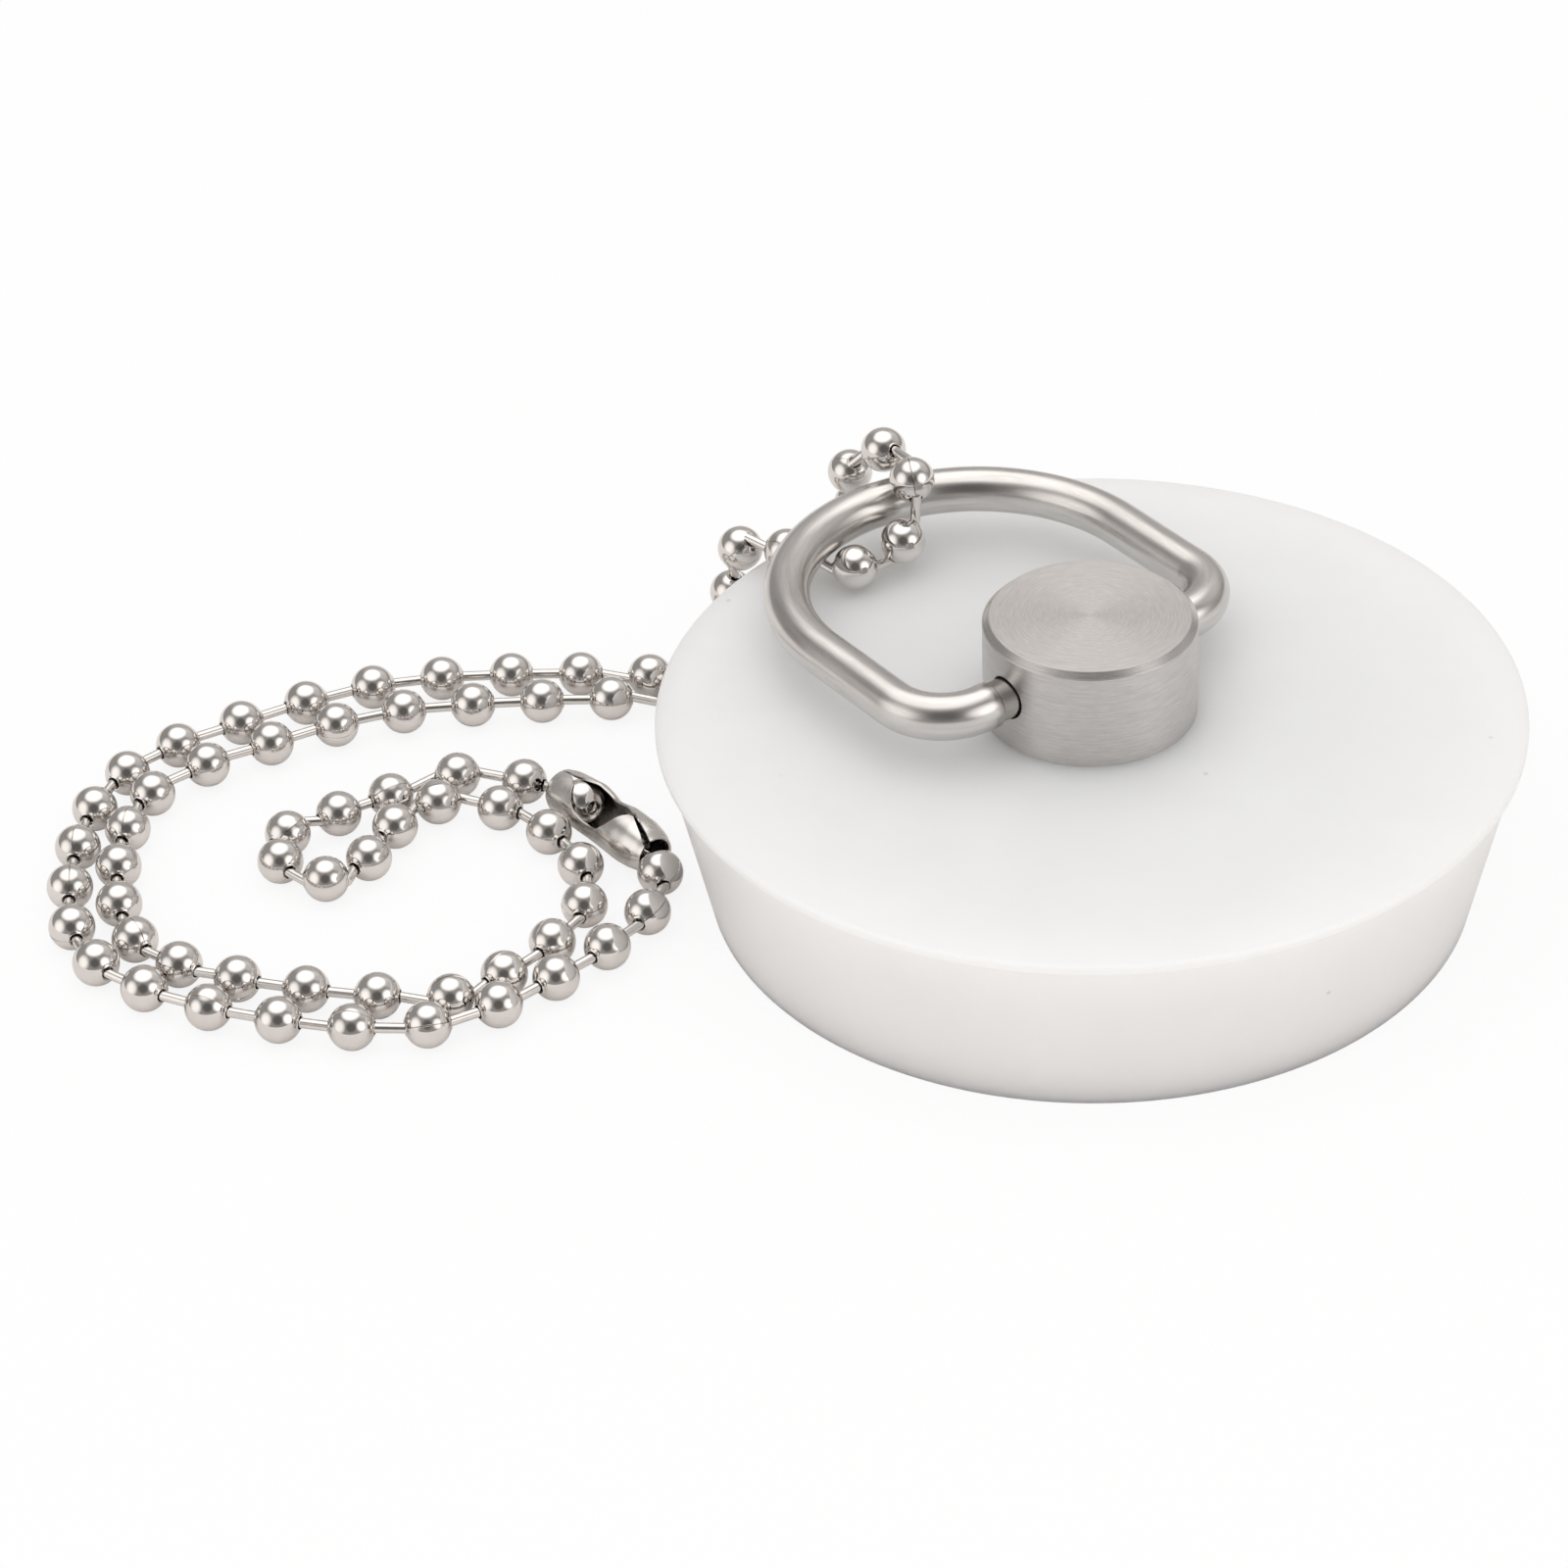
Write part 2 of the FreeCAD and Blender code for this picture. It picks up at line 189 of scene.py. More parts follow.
@dataclass(frozen=True)
class TurnedFinish:
    """Stainless steel off the lathe: rings on its face, short lines round its side, a rough chamfer."""

    chamfer_middle: float
    chamfer_half: float
    light: Colour = (0.74, 0.72, 0.703, 1.0)
    dark: Colour = (0.50, 0.486, 0.474, 1.0)
    roughness: float = 0.4
    chamfer_roughness: float = 0.26
    chamfer_grain: float = 0.9
    anisotropy: float = 0.42
    rings_per_metre: float = 14000.0
    ring_share: float = 0.4
    face_grain: float = 0.3
    relief: float = 0.004 * MM
    line_turns: float = 5.0
    lines_per_metre: float = 11000.0

    def marks(self, shader: Shader, split: bpy.types.Node) -> tuple[bpy.types.NodeSocket, bpy.types.NodeSocket]:
        """Whole rings and short arcs, by radius on the face and by height on the side."""
        flat = shader.add("ShaderNodeCombineXYZ")
        shader.link(split.outputs["X"], flat.inputs["X"])
        shader.link(split.outputs["Y"], flat.inputs["Y"])
        radius = shader.add("ShaderNodeVectorMath", operation="LENGTH")
        shader.link(flat.outputs["Vector"], radius.inputs[0])
        depth = shader.add("ShaderNodeMath", operation="SUBTRACT")
        shader.link(radius.outputs["Value"], depth.inputs[0])
        shader.link(split.outputs["Z"], depth.inputs[1])
        grooves = shader.add(
            "ShaderNodeTexNoise", noise_dimensions="1D", Scale=self.rings_per_metre,
            Detail=4.0, Roughness=0.7,
        )
        shader.link(depth.outputs["Value"], grooves.inputs["W"])
        around = shader.add("ShaderNodeVectorMath", operation="NORMALIZE")
        shader.link(flat.outputs["Vector"], around.inputs[0])
        step = shader.add("ShaderNodeMath", operation="MULTIPLY")
        step.inputs[1].default_value = self.lines_per_metre
        shader.link(depth.outputs["Value"], step.inputs[0])
        across = shader.add("ShaderNodeCombineXYZ")
        shader.link(step.outputs["Value"], across.inputs["Z"])
        arc = shader.add("ShaderNodeVectorMath", operation="MULTIPLY_ADD")
        arc.inputs[1].default_value = (self.line_turns,) * 3
        shader.link(around.outputs["Vector"], arc.inputs[0])
        shader.link(across.outputs["Vector"], arc.inputs[2])
        return grooves.outputs["Fac"], shader.noise(arc.outputs["Vector"], 5.0, 0.7)

    def material(self) -> bpy.types.Material:
        """The finish as a material."""
        shader = Shader("turned_steel")
        shader.set(Metallic=1.0, Anisotropic=self.anisotropy, Anisotropic_Rotation=0.25)
        coordinates = shader.add("ShaderNodeTexCoord")
        split = shader.add("ShaderNodeSeparateXYZ")
        shader.link(coordinates.outputs["Object"], split.inputs["Vector"])
        grooves, lines = self.marks(shader, split)
        both = shader.add("ShaderNodeMath", operation="MULTIPLY_ADD")
        both.inputs[1].default_value = self.ring_share
        shader.link(grooves, both.inputs[0])
        share = shader.add("ShaderNodeMath", operation="MULTIPLY")
        share.inputs[1].default_value = 1 - self.ring_share
        shader.link(lines, share.inputs[0])
        shader.link(share.outputs["Value"], both.inputs[2])
        shader.tint(shader.spread(both.outputs["Value"], 0.0, 1.0), self.dark, self.light)
        edge = shader.add("ShaderNodeMath", operation="COMPARE")
        edge.inputs[1].default_value = self.chamfer_middle
        edge.inputs[2].default_value = self.chamfer_half
        shader.link(split.outputs["Z"], edge.inputs[0])
        rough = shader.add("ShaderNodeMapRange", To_Min=self.roughness, To_Max=self.chamfer_roughness)
        shader.link(edge.outputs["Value"], rough.inputs["Value"])
        shader.link(rough.outputs["Result"], shader.surface.inputs["Roughness"])
        tangent = shader.add("ShaderNodeTangent", direction_type="RADIAL", axis="Z")
        shader.link(tangent.outputs["Tangent"], shader.surface.inputs["Tangent"])
        grain = shader.add("ShaderNodeMapRange", To_Min=self.face_grain, To_Max=self.chamfer_grain)
        shader.link(edge.outputs["Value"], grain.inputs["Value"])
        relief = shader.bump(both.outputs["Value"], self.relief, self.face_grain)
        shader.link(grain.outputs["Result"], relief.inputs["Strength"])
        return shader.material


@dataclass(frozen=True)
class DrawnFinish:
    """Satin drawn wire, with faint streaks along its length."""

    light: Colour = (0.71, 0.692, 0.674, 1.0)
    dark: Colour = (0.57, 0.553, 0.537, 1.0)
    along: float = 0.3
    around: float = 22.0
    smooth_roughness: float = 0.21
    worn_roughness: float = 0.28
    marks_per_metre: float = 300.0
    relief: float = 0.0015 * MM

    def material(self) -> bpy.types.Material:
        """The finish as a material."""
        shader = Shader("drawn_steel")
        shader.set(Metallic=1.0)
        lay = shader.add("ShaderNodeUVMap", uv_map="wire")
        mapping = shader.add("ShaderNodeMapping", Scale=(self.along, self.around, 1.0))
        shader.link(lay.outputs["UV"], mapping.inputs["Vector"])
        streaks = shader.noise(mapping.outputs["Vector"], 5.0, 0.65)
        shader.tint(shader.spread(streaks, 0.0, 1.0), self.dark, self.light)
        marks = shader.noise(shader.place((self.marks_per_metre,) * 3), 3.0, 0.6)
        rough = shader.spread(marks, self.smooth_roughness, self.worn_roughness)
        shader.link(rough, shader.surface.inputs["Roughness"])
        shader.bump(streaks, self.relief, 0.12)
        return shader.material


@dataclass(frozen=True)
class PlatedFinish:
    """Polished nickel plate, with a little unevenness from rolling and handling."""

    name: str
    light: Colour = (0.77, 0.745, 0.722, 1.0)
    dark: Colour = (0.70, 0.676, 0.654, 1.0)
    roughness: float = 0.07
    dents: float = 800.0
    dent_height: float = 0.008 * MM

    def material(self) -> bpy.types.Material:
        """The finish as a material."""
        shader = Shader(self.name)
        shader.set(Metallic=1.0)
        cloud = shader.noise(shader.place((self.dents,) * 3), 4.0, 0.6)
        shader.tint(shader.spread(cloud, 0.0, 1.0), self.dark, self.light)
        shader.link(
            shader.spread(cloud, self.roughness * 0.6, self.roughness * 1.5),
            shader.surface.inputs["Roughness"],
        )
        shader.bump(cloud, self.dent_height, 0.3)
        return shader.material


def mesh_object(name: str, points: list, faces: list) -> bpy.types.Object:
    """A mesh object at the origin, in the scene.

    Args:
        name: Name of the piece.
        points: Corner points in metres.
        faces: Corner numbers of each face.

    Returns:
        The new object.
    """
    mesh = bpy.data.meshes.new(name)
    mesh.from_pydata([tuple(point) for point in points], [], faces)
    mesh.update()
    thing = bpy.data.objects.new(name, mesh)
    bpy.context.scene.collection.objects.link(thing)
    return thing


def smooth(thing: bpy.types.Object, angle: float = 30.0) -> None:
    """Shade a piece smooth, keeping edges sharper than an angle in degrees."""
    thing.data.polygons.foreach_set("use_smooth", [True] * len(thing.data.polygons))
    thing.data.set_sharp_from_angle(angle=math.radians(angle))
    thing.data.update()


def dress(thing: bpy.types.Object, material: bpy.types.Material) -> None:
    """Give a piece one material."""
    thing.data.materials.clear()
    thing.data.materials.append(material)


def turned(name: str, outline: Outline, segments: int) -> bpy.types.Object:
    """Turn an outline about the Z axis.

    Args:
        name: Name of the piece.
        outline: Closed loop of (radius, height) in metres; points of no radius become poles.
        segments: Steps round the axis.

    Returns:
        A closed object with its faces outwards.
    """
    points: list = []
    rows: list[list[int]] = []
    for radius, height in outline:
        if radius < 1e-9:
            rows.append([len(points)] * segments)
            points.append((0.0, 0.0, height))
            continue
        rows.append(list(range(len(points), len(points) + segments)))
        for step in range(segments):
            angle = 2 * math.pi * step / segments
            points.append((radius * math.cos(angle), radius * math.sin(angle), height))
    faces = []
    for row, after in zip(rows, rows[1:] + rows[:1]):
        if row[0] == row[1] and after[0] == after[1]:
            continue
        for step in range(segments):
            beside = (step + 1) % segments
            corners = [row[step], row[beside], after[beside], after[step]]
            faces.append(list(dict.fromkeys(corners)))
    thing = mesh_object(name, points, faces)
    outward(thing)
    return thing


def outward(thing: bpy.types.Object) -> None:
    """Turn all the faces of a closed piece outwards."""
    shape = bmesh.new()
    shape.from_mesh(thing.data)
    bmesh.ops.recalc_face_normals(shape, faces=shape.faces[:])
    shape.to_mesh(thing.data)
    shape.free()


def rounded(corner: tuple[float, float], before: tuple[float, float], after: tuple[float, float],
            radius: float, steps: int = 6) -> Outline:
    """Points of a round that replaces a corner of an outline, held flat on both sides of it.

    Args:
        corner: The sharp corner.
        before: The point ahead of it.
        after: The point behind it.
        radius: Radius of the round.
        steps: Number of spans in the round.

    Returns:
        Points from the first side to the second.
    """
    here = Vector(corner)
    to_before = (Vector(before) - here).normalized()
    to_after = (Vector(after) - here).normalized()
    half = to_before.angle(to_after) / 2
    middle = here + (to_before + to_after).normalized() * (radius / math.sin(half))
    start = here + to_before * (radius / math.tan(half)) - middle
    end = here + to_after * (radius / math.tan(half)) - middle
    points = []
    for step in range(steps + 1):
        spoke = start.slerp(end, step / steps).normalized() * radius
        points.append(tuple(middle + spoke))
    hold = radius * 0.4
    points.insert(0, tuple(middle + start + to_before * hold))
    points.append(tuple(middle + end + to_after * hold))
    return points


@dataclass
class Plug:
    """The tapered silicone plug with its thin lip."""

    top_radius: float = 23.0 * MM
    base_radius: float = 20.5 * MM
    height: float = 10.5 * MM
    rim_round: float = 0.2 * MM
    lip_height: float = 0.45 * MM
    lip_reach: float = 0.4 * MM
    lip_slope: float = 0.3 * MM
    lip_round: float = 0.1 * MM
    base_round: float = 0.12 * MM
    passage: float = 2.2 * MM
    well_radius: float = 5.5 * MM
    well_depth: float = 4.2 * MM
    segments: int = 256

    def outline(self) -> Outline:
        """Half section from the passage round the outside and back through the well."""
        passage_top = (self.passage, self.height)
        rim = (self.top_radius, self.height)
        lip = (self.top_radius, self.height - self.lip_height)
        neck = (self.top_radius - self.lip_reach, self.height - self.lip_height - self.lip_slope)
        foot = (self.base_radius, 0.0)
        well_mouth = (self.well_radius, 0.0)
        return [
            passage_top,
            (self.top_radius * 0.6, self.height),
            *rounded(rim, passage_top, lip, self.rim_round, 8),
            *rounded(lip, rim, neck, self.lip_round, 5),
            *rounded(neck, lip, foot, self.lip_round, 5),
            *rounded(foot, neck, well_mouth, self.base_round, 5),
            well_mouth,
            (self.well_radius, self.well_depth),
            (self.passage, self.well_depth),
        ]

    def build(self) -> bpy.types.Object:
        """Make the plug and dress it."""
        plug = turned("plug", self.outline(), self.segments)
        smooth(plug)
        dress(plug, SiliconeFinish().material())
        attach(plug, Body.STOPPER.value)
        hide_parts("plug_body")
        return plug


@dataclass
class Boss:
    """The turned steel button that carries the bail."""

    radius: float = 5.65 * MM
    foot: float = 10.5 * MM
    height: float = 5.7 * MM
    chamfer: float = 0.36 * MM
    edge_round: float = 0.04 * MM
    tapped_radius: float = 2.03 * MM
    tapped_depth: float = 4.4 * MM
    pivot_height: float = 13.4 * MM
    pivot_radius: float = 1.2 * MM
    pivot_depth: float = 2.3 * MM
    turn: float = math.radians(35.0)
    segments: int = 192

    def outline(self) -> Outline:
        """Half section of the button with its tapped hole."""
        top = self.foot + self.height
        crown = (self.radius - self.chamfer, top)
        shoulder = (self.radius, top - self.chamfer)
        side_foot = (self.radius, self.foot)
        return [
            (0.0, top),
            (self.radius * 0.5, top),
            *rounded(crown, (0.0, top), shoulder, self.edge_round, 3),
            *rounded(shoulder, crown, side_foot, self.edge_round, 3),
            side_foot,
            (self.tapped_radius, self.foot),
            (self.tapped_radius, self.foot + self.tapped_depth),
            (0.0, self.foot + self.tapped_depth),
        ]

    def pivot_cutter(self, side: Side) -> bpy.types.Object:
        """A rod where one pivot hole goes."""
        outline = [
            (0.0, self.radius - self.pivot_depth), (self.pivot_radius, self.radius - self.pivot_depth),
            (self.pivot_radius, self.radius * 1.5), (0.0, self.radius * 1.5),
        ]
        cutter = turned("pivot_cutter", outline, 64)
        lay = Matrix.Rotation(math.pi / 2 * side.value, 4, "Y")
        swing = Matrix.Rotation(self.turn, 4, "Z")
        cutter.data.transform(Matrix.Translation((0, 0, self.pivot_height)) @ swing @ lay)
        return cutter

    def build(self) -> bpy.types.Object:
        """Make the button, drill it and dress it."""
        boss = turned("boss_button", self.outline(), self.segments)
        for side in Side:
            cutter = self.pivot_cutter(side)
            drill = boss.modifiers.new("drill", "BOOLEAN")
            drill.operation = "DIFFERENCE"
            drill.solver = "EXACT"
            drill.object = cutter
            drilled = bpy.data.meshes.new_from_object(
                boss.evaluated_get(bpy.context.evaluated_depsgraph_get())
            )
            boss.modifiers.remove(drill)
            boss.data = drilled
            bpy.data.objects.remove(cutter)
        smooth(boss, 25.0)
        finish = TurnedFinish(self.foot + self.height - self.chamfer / 2, self.chamfer / 2 - self.edge_round)
        dress(boss, finish.material())
        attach(boss, Body.STOPPER.value)
        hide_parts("boss")
        return boss


@dataclass
class Fixing:
    """The screw and washer under the plug, kept as the solids made them."""

    nodes: tuple[str, ...] = ("fixing_screw", "flat_washer")

    def build(self) -> None:
        """Dress the screw and the washer."""
        finish = PlatedFinish(
            "zinc_steel", light=(0.66, 0.66, 0.67, 1.0), dark=(0.52, 0.52, 0.53, 1.0),
            roughness=0.32, dents=1500.0,
        ).material()
        for node in self.nodes:
            dress(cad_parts[node], finish)


@dataclass
class Bail:
    """The bent wire loop, in its own plane: along the hinge, out to the crown, and up."""

    wire: float = 1.25 * MM
    spigot: float = 1.1 * MM
    spigot_length: float = 2.15 * MM
    shoulder: float = 6.15 * MM
    shoulder_chamfer: float = 0.15 * MM
    half_width: float = 10.1 * MM
    corner: float = 3.2 * MM
    leg: float = 6.1 * MM
    side_shift: float = -0.4 * MM
    pivot_height: float = 13.4 * MM
    turn: float = math.radians(35.0)
    rings: int = 64

    def place(self, point: Point) -> Vector:
        """Move a point from the bail's own plane to its place on the boss."""
        along = point[0] + self.side_shift
        swing = Matrix.Rotation(self.turn, 3, "Z")
        return swing @ Vector((along, point[1], 0.0)) + Vector((0, 0, self.pivot_height + point[2]))

    def half_line(self) -> list[tuple[Vector, Vector, float]]:
        """Stations from the right spigot's tip to the crown: place, way and wire radius."""
        hinge = Vector((1, 0, 0))
        tip = self.shoulder - self.spigot_length
        bevel = 0.1 * MM
        stations = [
            (Vector((tip, 0, 0)), hinge, self.spigot - bevel),
            (Vector((tip + bevel, 0, 0)), hinge, self.spigot),
            (Vector((self.shoulder - 0.04 * MM, 0, 0)), hinge, self.spigot),
            (Vector((self.shoulder, 0, 0)), hinge, self.spigot + 0.02 * MM),
            (Vector((self.shoulder, 0, 0)), hinge, self.wire - self.shoulder_chamfer),
            (Vector((self.shoulder + self.shoulder_chamfer * 0.6, 0, 0)), hinge, self.wire - 0.03 * MM),
            (Vector((self.shoulder + self.shoulder_chamfer, 0, 0)), hinge, self.wire),
        ]
        start = self.half_width - self.corner
        for step in range(25):
            angle = math.pi / 2 * step / 24
            place = Vector((start + self.corner * math.sin(angle), self.corner * (1 - math.cos(angle)), 0))
            stations.append((place, Vector((math.cos(angle), math.sin(angle), 0)), self.wire))
        for step in range(1, 7):
            place = Vector((self.half_width, self.corner + self.leg * step / 6, 0))
            stations.append((place, Vector((0, 1, 0)), self.wire))
        centre = Vector((0, self.corner + self.leg, 0))
        for step in range(1, 41):
            angle = math.pi / 2 * step / 40
            spoke = Vector((math.cos(angle), math.sin(angle), 0))
            stations.append((centre + spoke * self.half_width, Vector((-spoke.y, spoke.x, 0)), self.wire))
        return stations

    def line(self) -> list[tuple[Vector, Vector, float]]:
        """Stations from the right spigot round the loop to the left one."""
        half = self.half_line()
        other = []
        for place, way, radius in reversed(half[:-1]):
            other.append((Vector((-place.x, place.y, 0)), Vector((way.x, -way.y, 0)), radius))
        return half + other

    def build(self) -> bpy.types.Object:
        """Make the wire, lay its streak map and dress it."""
        stations = self.line()
        points: list = []
        travelled = [0.0]
        for here, there in zip(stations, stations[1:]):
            travelled.append(travelled[-1] + max((there[0] - here[0]).length, 0.02 * MM))
        for place, way, radius in stations:
            across = Vector((way.y, -way.x, 0))
            for step in range(self.rings):
                angle = 2 * math.pi * step / self.rings
                spoke = across * math.cos(angle) + Vector((0, 0, 1)) * math.sin(angle)
                points.append(self.place(tuple(place + spoke * radius)))
        faces = []
        for row in range(len(stations) - 1):
            for step in range(self.rings):
                beside = (step + 1) % self.rings
                low, high = row * self.rings, (row + 1) * self.rings
                faces.append([low + step, low + beside, high + beside, high + step])
        last = (len(stations) - 1) * self.rings
        faces.append(list(range(self.rings)))
        faces.append([last + step for step in range(self.rings)])
        bail = mesh_object("bail_wire", points, faces)
        outward(bail)
        self.lay_map(bail, travelled)
        smooth(bail, 35.0)
        dress(bail, DrawnFinish().material())
        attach(bail, Body.BAIL.value)
        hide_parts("bail")
        return bail

    def lay_map(self, bail: bpy.types.Object, travelled: list[float]) -> None:
        """Map the wire by the way along it, in millimetres, and round it, in turns."""
        layer = bail.data.uv_layers.new(name="wire")
        for face in bail.data.polygons:
            turns = [bail.data.loops[loop].vertex_index % self.rings for loop in face.loop_indices]
            wraps = max(turns) - min(turns) > self.rings / 2
            for loop, turn in zip(face.loop_indices, turns):
                row = bail.data.loops[loop].vertex_index // self.rings
                lap = turn + (self.rings if wraps and turn < self.rings / 2 else 0)
                layer.data[loop].uv = (travelled[row] / MM, lap / self.rings)


@dataclass
class Ball:
    """One hollow ball of the chain, with a seam and two pin holes."""

    radius: float = 1.25 * MM
    wall: float = 0.2 * MM
    hole: float = 0.36 * MM
    lip: float = 0.1 * MM
    lip_rise: float = 0.05 * MM
    seam_width: float = 0.09 * MM
    seam_depth: float = 0.07 * MM
    segments: int = 48
    bands: int = 22

    def outline(self) -> Outline:
        """Half section of the shell along the pin's axis, outside first."""
        edge = math.asin((self.hole + self.lip) / self.radius)
        span = math.pi - 2 * edge
        angles = [edge + span * step / self.bands for step in range(self.bands + 1)]
        angles[1:1] = [edge + span * 0.008]
        angles[-1:-1] = [math.pi - edge - span * 0.008]
        outside = [(self.radius * math.sin(angle), self.radius * math.cos(angle)) for angle in angles]
        hollow = self.radius - self.wall
        inner_edge = math.asin(self.hole / hollow)
        mouth = math.cos(edge) * self.radius + self.lip_rise
        rim = self.hole + self.lip / 2
        steps = 8
        inside = [
            (hollow * math.sin(angle), -hollow * math.cos(angle))
            for angle in (inner_edge + (math.pi - 2 * inner_edge) * step / steps for step in range(steps + 1))
        ]
        low_mouth = [(rim, -mouth), (self.hole, -mouth + self.lip / 4)]
        high_mouth = [(self.hole, mouth - self.lip / 4), (rim, mouth)]
        return outside + low_mouth + inside + high_mouth

    def build(self) -> bpy.types.Object:
        """Make one ball at the origin with its holes along Z, to be repeated along the chain."""
        outline = self.outline()
        half_seam = self.seam_width / 2 / self.radius
        turns = [-half_seam, 0.0, half_seam]
        rest = 2 * math.pi - 2 * half_seam
        turns += [half_seam + rest * step / self.segments for step in range(1, self.segments)]
        outer_rows = self.bands + 3
        points = []
        for row, (radius, height) in enumerate(outline):
            for column, angle in enumerate(turns):
                cut = self.seam_depth if column == 1 and row < outer_rows else 0.0
                shrink = 1 - cut / self.radius
                points.append((
                    radius * shrink * math.cos(angle), radius * shrink * math.sin(angle), height * shrink
                ))
        width = len(turns)
        faces = []
        for row in range(len(outline)):
            after = (row + 1) % len(outline)
            for column in range(width):
                beside = (column + 1) % width
                faces.append([
                    row * width + column, row * width + beside, after * width + beside, after * width + column
                ])
        ball = mesh_object("ball_pattern", points, faces)
        outward(ball)
        smooth(ball, 50.0)
        return ball


class ChainTree:
    """Geometry nodes that set a ball on every marked point and a pin on every edge."""

    pin_sides: int = 20

    def __init__(self) -> None:
        """Build the node tree."""
        self.tree = bpy.data.node_groups.new("ball_chain", "GeometryNodeTree")
        self.sockets: dict[str, str] = {}
        self.socket("Geometry", "NodeSocketGeometry")
        self.socket("Ball", "NodeSocketObject")
        self.socket("Pin Radius", "NodeSocketFloat")
        self.socket("Pin Sides", "NodeSocketInt")
        self.socket("Roll Seed", "NodeSocketInt")
        self.socket("Ball Finish", "NodeSocketMaterial")
        self.socket("Pin Finish", "NodeSocketMaterial")
        self.tree.interface.new_socket(
            name="Geometry", in_out="OUTPUT", socket_type="NodeSocketGeometry"
        )
        self.given = self.add("NodeGroupInput")
        self.join_rows()

    def socket(self, name: str, kind: str) -> None:
        """Add a named input and keep its identifier."""
        made = self.tree.interface.new_socket(name=name, in_out="INPUT", socket_type=kind)
        self.sockets[name] = made.identifier

    def add(self, kind: str, **settings: object) -> bpy.types.Node:
        """Add a node with some of its properties set."""
        node = self.tree.nodes.new(kind)
        for name, value in settings.items():
            setattr(node, name, value)
        return node

    def link(self, source: bpy.types.NodeSocket, target: bpy.types.NodeSocket) -> None:
        """Join an output to an input."""
        self.tree.links.new(source, target)

    def ball_turn(self) -> bpy.types.NodeSocket:
        """Rotation that lays a ball's holes along the chain and rolls its seam by chance."""
        axis = self.add("GeometryNodeInputNamedAttribute", data_type="FLOAT_VECTOR")
        axis.inputs["Name"].default_value = "axis"
        align = self.add("FunctionNodeAlignRotationToVector", axis="Z")
        self.link(axis.outputs["Attribute"], align.inputs["Vector"])
        chance = self.add("FunctionNodeRandomValue", data_type="FLOAT")
        chance.inputs[2].default_value = 0.0
        chance.inputs[3].default_value = 2 * math.pi
        self.link(self.given.outputs["Roll Seed"], chance.inputs["Seed"])
        lift = self.add("ShaderNodeCombineXYZ")
        self.link(chance.outputs[1], lift.inputs["Z"])
        roll = self.add("FunctionNodeEulerToRotation")
        self.link(lift.outputs["Vector"], roll.inputs["Euler"])
        turn = self.add("FunctionNodeRotateRotation", rotation_space="LOCAL")
        self.link(align.outputs["Rotation"], turn.inputs["Rotation"])
        self.link(roll.outputs["Rotation"], turn.inputs["Rotate By"])
        return turn.outputs["Rotation"]

    def split(self) -> bpy.types.Node:
        """Part the marked ball points from the pin edges."""
        mark = self.add("GeometryNodeInputNamedAttribute", data_type="BOOLEAN")
        mark.inputs["Name"].default_value = "is_ball"
        parts = self.add("GeometryNodeSeparateGeometry", domain="POINT")
        self.link(self.given.outputs["Geometry"], parts.inputs["Geometry"])
        self.link(mark.outputs["Attribute"], parts.inputs["Selection"])
        return parts

    def finish(self, shape: bpy.types.NodeSocket, name: str) -> bpy.types.NodeSocket:
        """Set the material of one kind of piece."""
        paint = self.add("GeometryNodeSetMaterial")
        self.link(shape, paint.inputs["Geometry"])
        self.link(self.given.outputs[name], paint.inputs["Material"])
        return paint.outputs["Geometry"]

    def join_rows(self) -> None:
        """Lay the balls and the pins, join them and make them real."""
        parts = self.split()
        pattern = self.add("GeometryNodeObjectInfo")
        self.link(self.given.outputs["Ball"], pattern.inputs["Object"])
        balls = self.add("GeometryNodeInstanceOnPoints")
        self.link(parts.outputs["Selection"], balls.inputs["Points"])
        self.link(pattern.outputs["Geometry"], balls.inputs["Instance"])
        self.link(self.ball_turn(), balls.inputs["Rotation"])
        real_balls = self.add("GeometryNodeRealizeInstances")
        self.link(balls.outputs["Instances"], real_balls.inputs["Geometry"])

        rods = self.add("GeometryNodeMeshToCurve")
        self.link(parts.outputs["Inverted"], rods.inputs["Mesh"])
        ring = self.add("GeometryNodeCurvePrimitiveCircle", mode="RADIUS")
        self.link(self.given.outputs["Pin Radius"], ring.inputs["Radius"])
        self.link(self.given.outputs["Pin Sides"], ring.inputs["Resolution"])
        pins = self.add("GeometryNodeCurveToMesh")
        pins.inputs["Fill Caps"].default_value = True
        self.link(rods.outputs["Curve"], pins.inputs["Curve"])
        self.link(ring.outputs["Curve"], pins.inputs["Profile Curve"])

        both = self.add("GeometryNodeJoinGeometry")
        self.link(self.finish(real_balls.outputs["Geometry"], "Ball Finish"), both.inputs["Geometry"])
        self.link(self.finish(pins.outputs["Mesh"], "Pin Finish"), both.inputs["Geometry"])
        real = self.add("GeometryNodeRealizeInstances")
        self.link(both.outputs["Geometry"], real.inputs["Geometry"])
        out = self.add("NodeGroupOutput")
        self.link(real.outputs["Geometry"], out.inputs["Geometry"])

